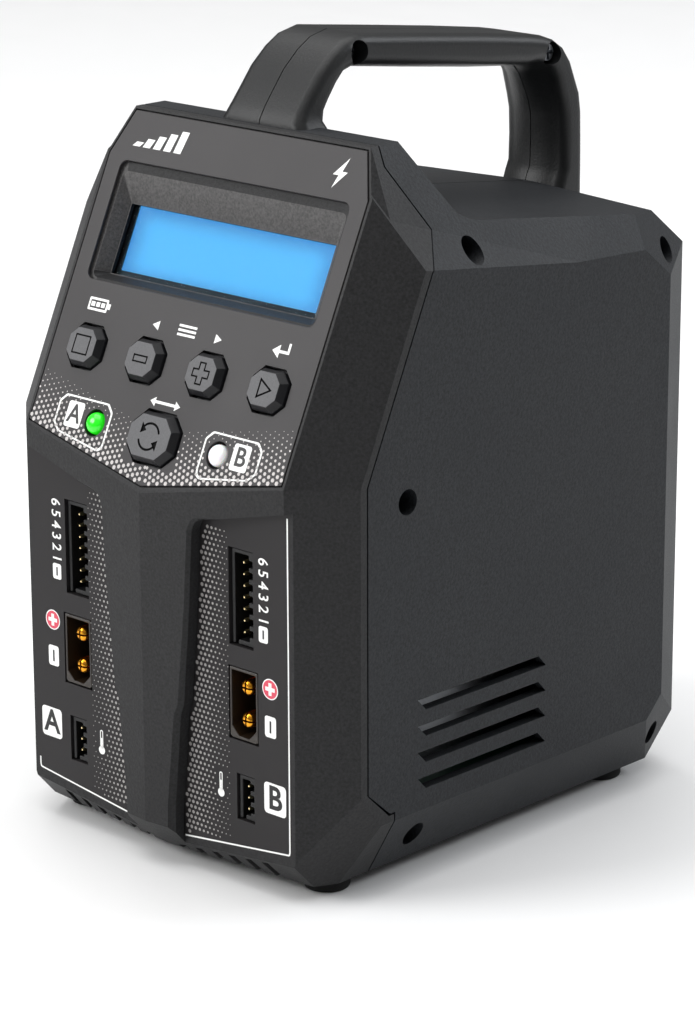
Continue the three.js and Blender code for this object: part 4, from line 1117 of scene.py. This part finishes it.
# ---------- stage ----------
bm = bmesh.new()
bmesh.ops.create_grid(bm, x_segments=1, y_segments=1, size=6)
floor = to_object(bm, "floor")
FLOOR_WHITE = material("floor_white", "f4f4f4", 0.3, grain=400, rough_spread=0.03, specular=0.35)
floor.data.materials.append(FLOOR_WHITE)

# The sky is dim at the horizon and brighter overhead.
SKY_LOW, SKY_HIGH = 0.06, 0.5
SKY_TOP = 0.9
world = bpy.data.worlds.new("studio")
bpy.context.scene.world = world
world.use_nodes = True
tree = world.node_tree
backdrop = tree.nodes["Background"]
backdrop.inputs["Color"].default_value = (1, 1, 1, 1)
direction = node(tree, "ShaderNodeTexCoord")
parts = node(tree, "ShaderNodeSeparateXYZ")
tree.links.new(direction.outputs["Generated"], parts.inputs["Vector"])
sky = node(tree, "ShaderNodeMapRange")
sky.inputs["From Min"].default_value = 0.0
sky.inputs["From Max"].default_value = SKY_TOP
sky.inputs["To Min"].default_value = SKY_LOW
sky.inputs["To Max"].default_value = SKY_HIGH
tree.links.new(parts.outputs["Z"], sky.inputs["Value"])
tree.links.new(sky.outputs["Result"], backdrop.inputs["Strength"])


def area(name, spot, target, size, power, colour=(1, 1, 1)):
    light = bpy.data.lights.new(name, "AREA")
    light.shape = "RECTANGLE"
    light.size, light.size_y = size
    light.energy = power
    light.color = colour
    holder = bpy.data.objects.new(name, light)
    bpy.context.scene.collection.objects.link(holder)
    holder.location = spot
    holder.rotation_euler = (Vector(spot) - Vector(target)).to_track_quat("Z", "Y").to_euler()


area("overhead_softbox", (-0.35, 0.15, 2.1), (0.0, 0.3, 0), (2.6, 2.6), 52)
area("front_softbox", (-0.75, -1.0, 0.75), (0, -0.03, 0.09), (0.8, 0.6), 13)
area("rear_softbox", (0.75, 1.3, 0.95), (0, 0, 0.1), (0.9, 0.5), 12, (0.93, 0.96, 1))

CAMERA_LENS = 186.95
CAMERA_SPOT = (0.5232, -0.5540, 0.2936)
CAMERA_AXES = ((0.7254, 0.6884, -0.0033), (-0.1956, 0.2108, 0.9578), (0.6600, -0.6940, 0.2875))
camera = bpy.data.cameras.new("camera")
camera.sensor_fit = "HORIZONTAL"
camera.sensor_width = 36
camera.lens = CAMERA_LENS
camera.clip_start = 0.05
viewer = bpy.data.objects.new("camera", camera)
bpy.context.scene.collection.objects.link(viewer)
viewer.matrix_world = Matrix.Translation(CAMERA_SPOT) @ Matrix(CAMERA_AXES).transposed().to_4x4()
bpy.context.scene.camera = viewer
bpy.context.scene.view_settings.view_transform = "Standard"

bpy.context.view_layer.update()
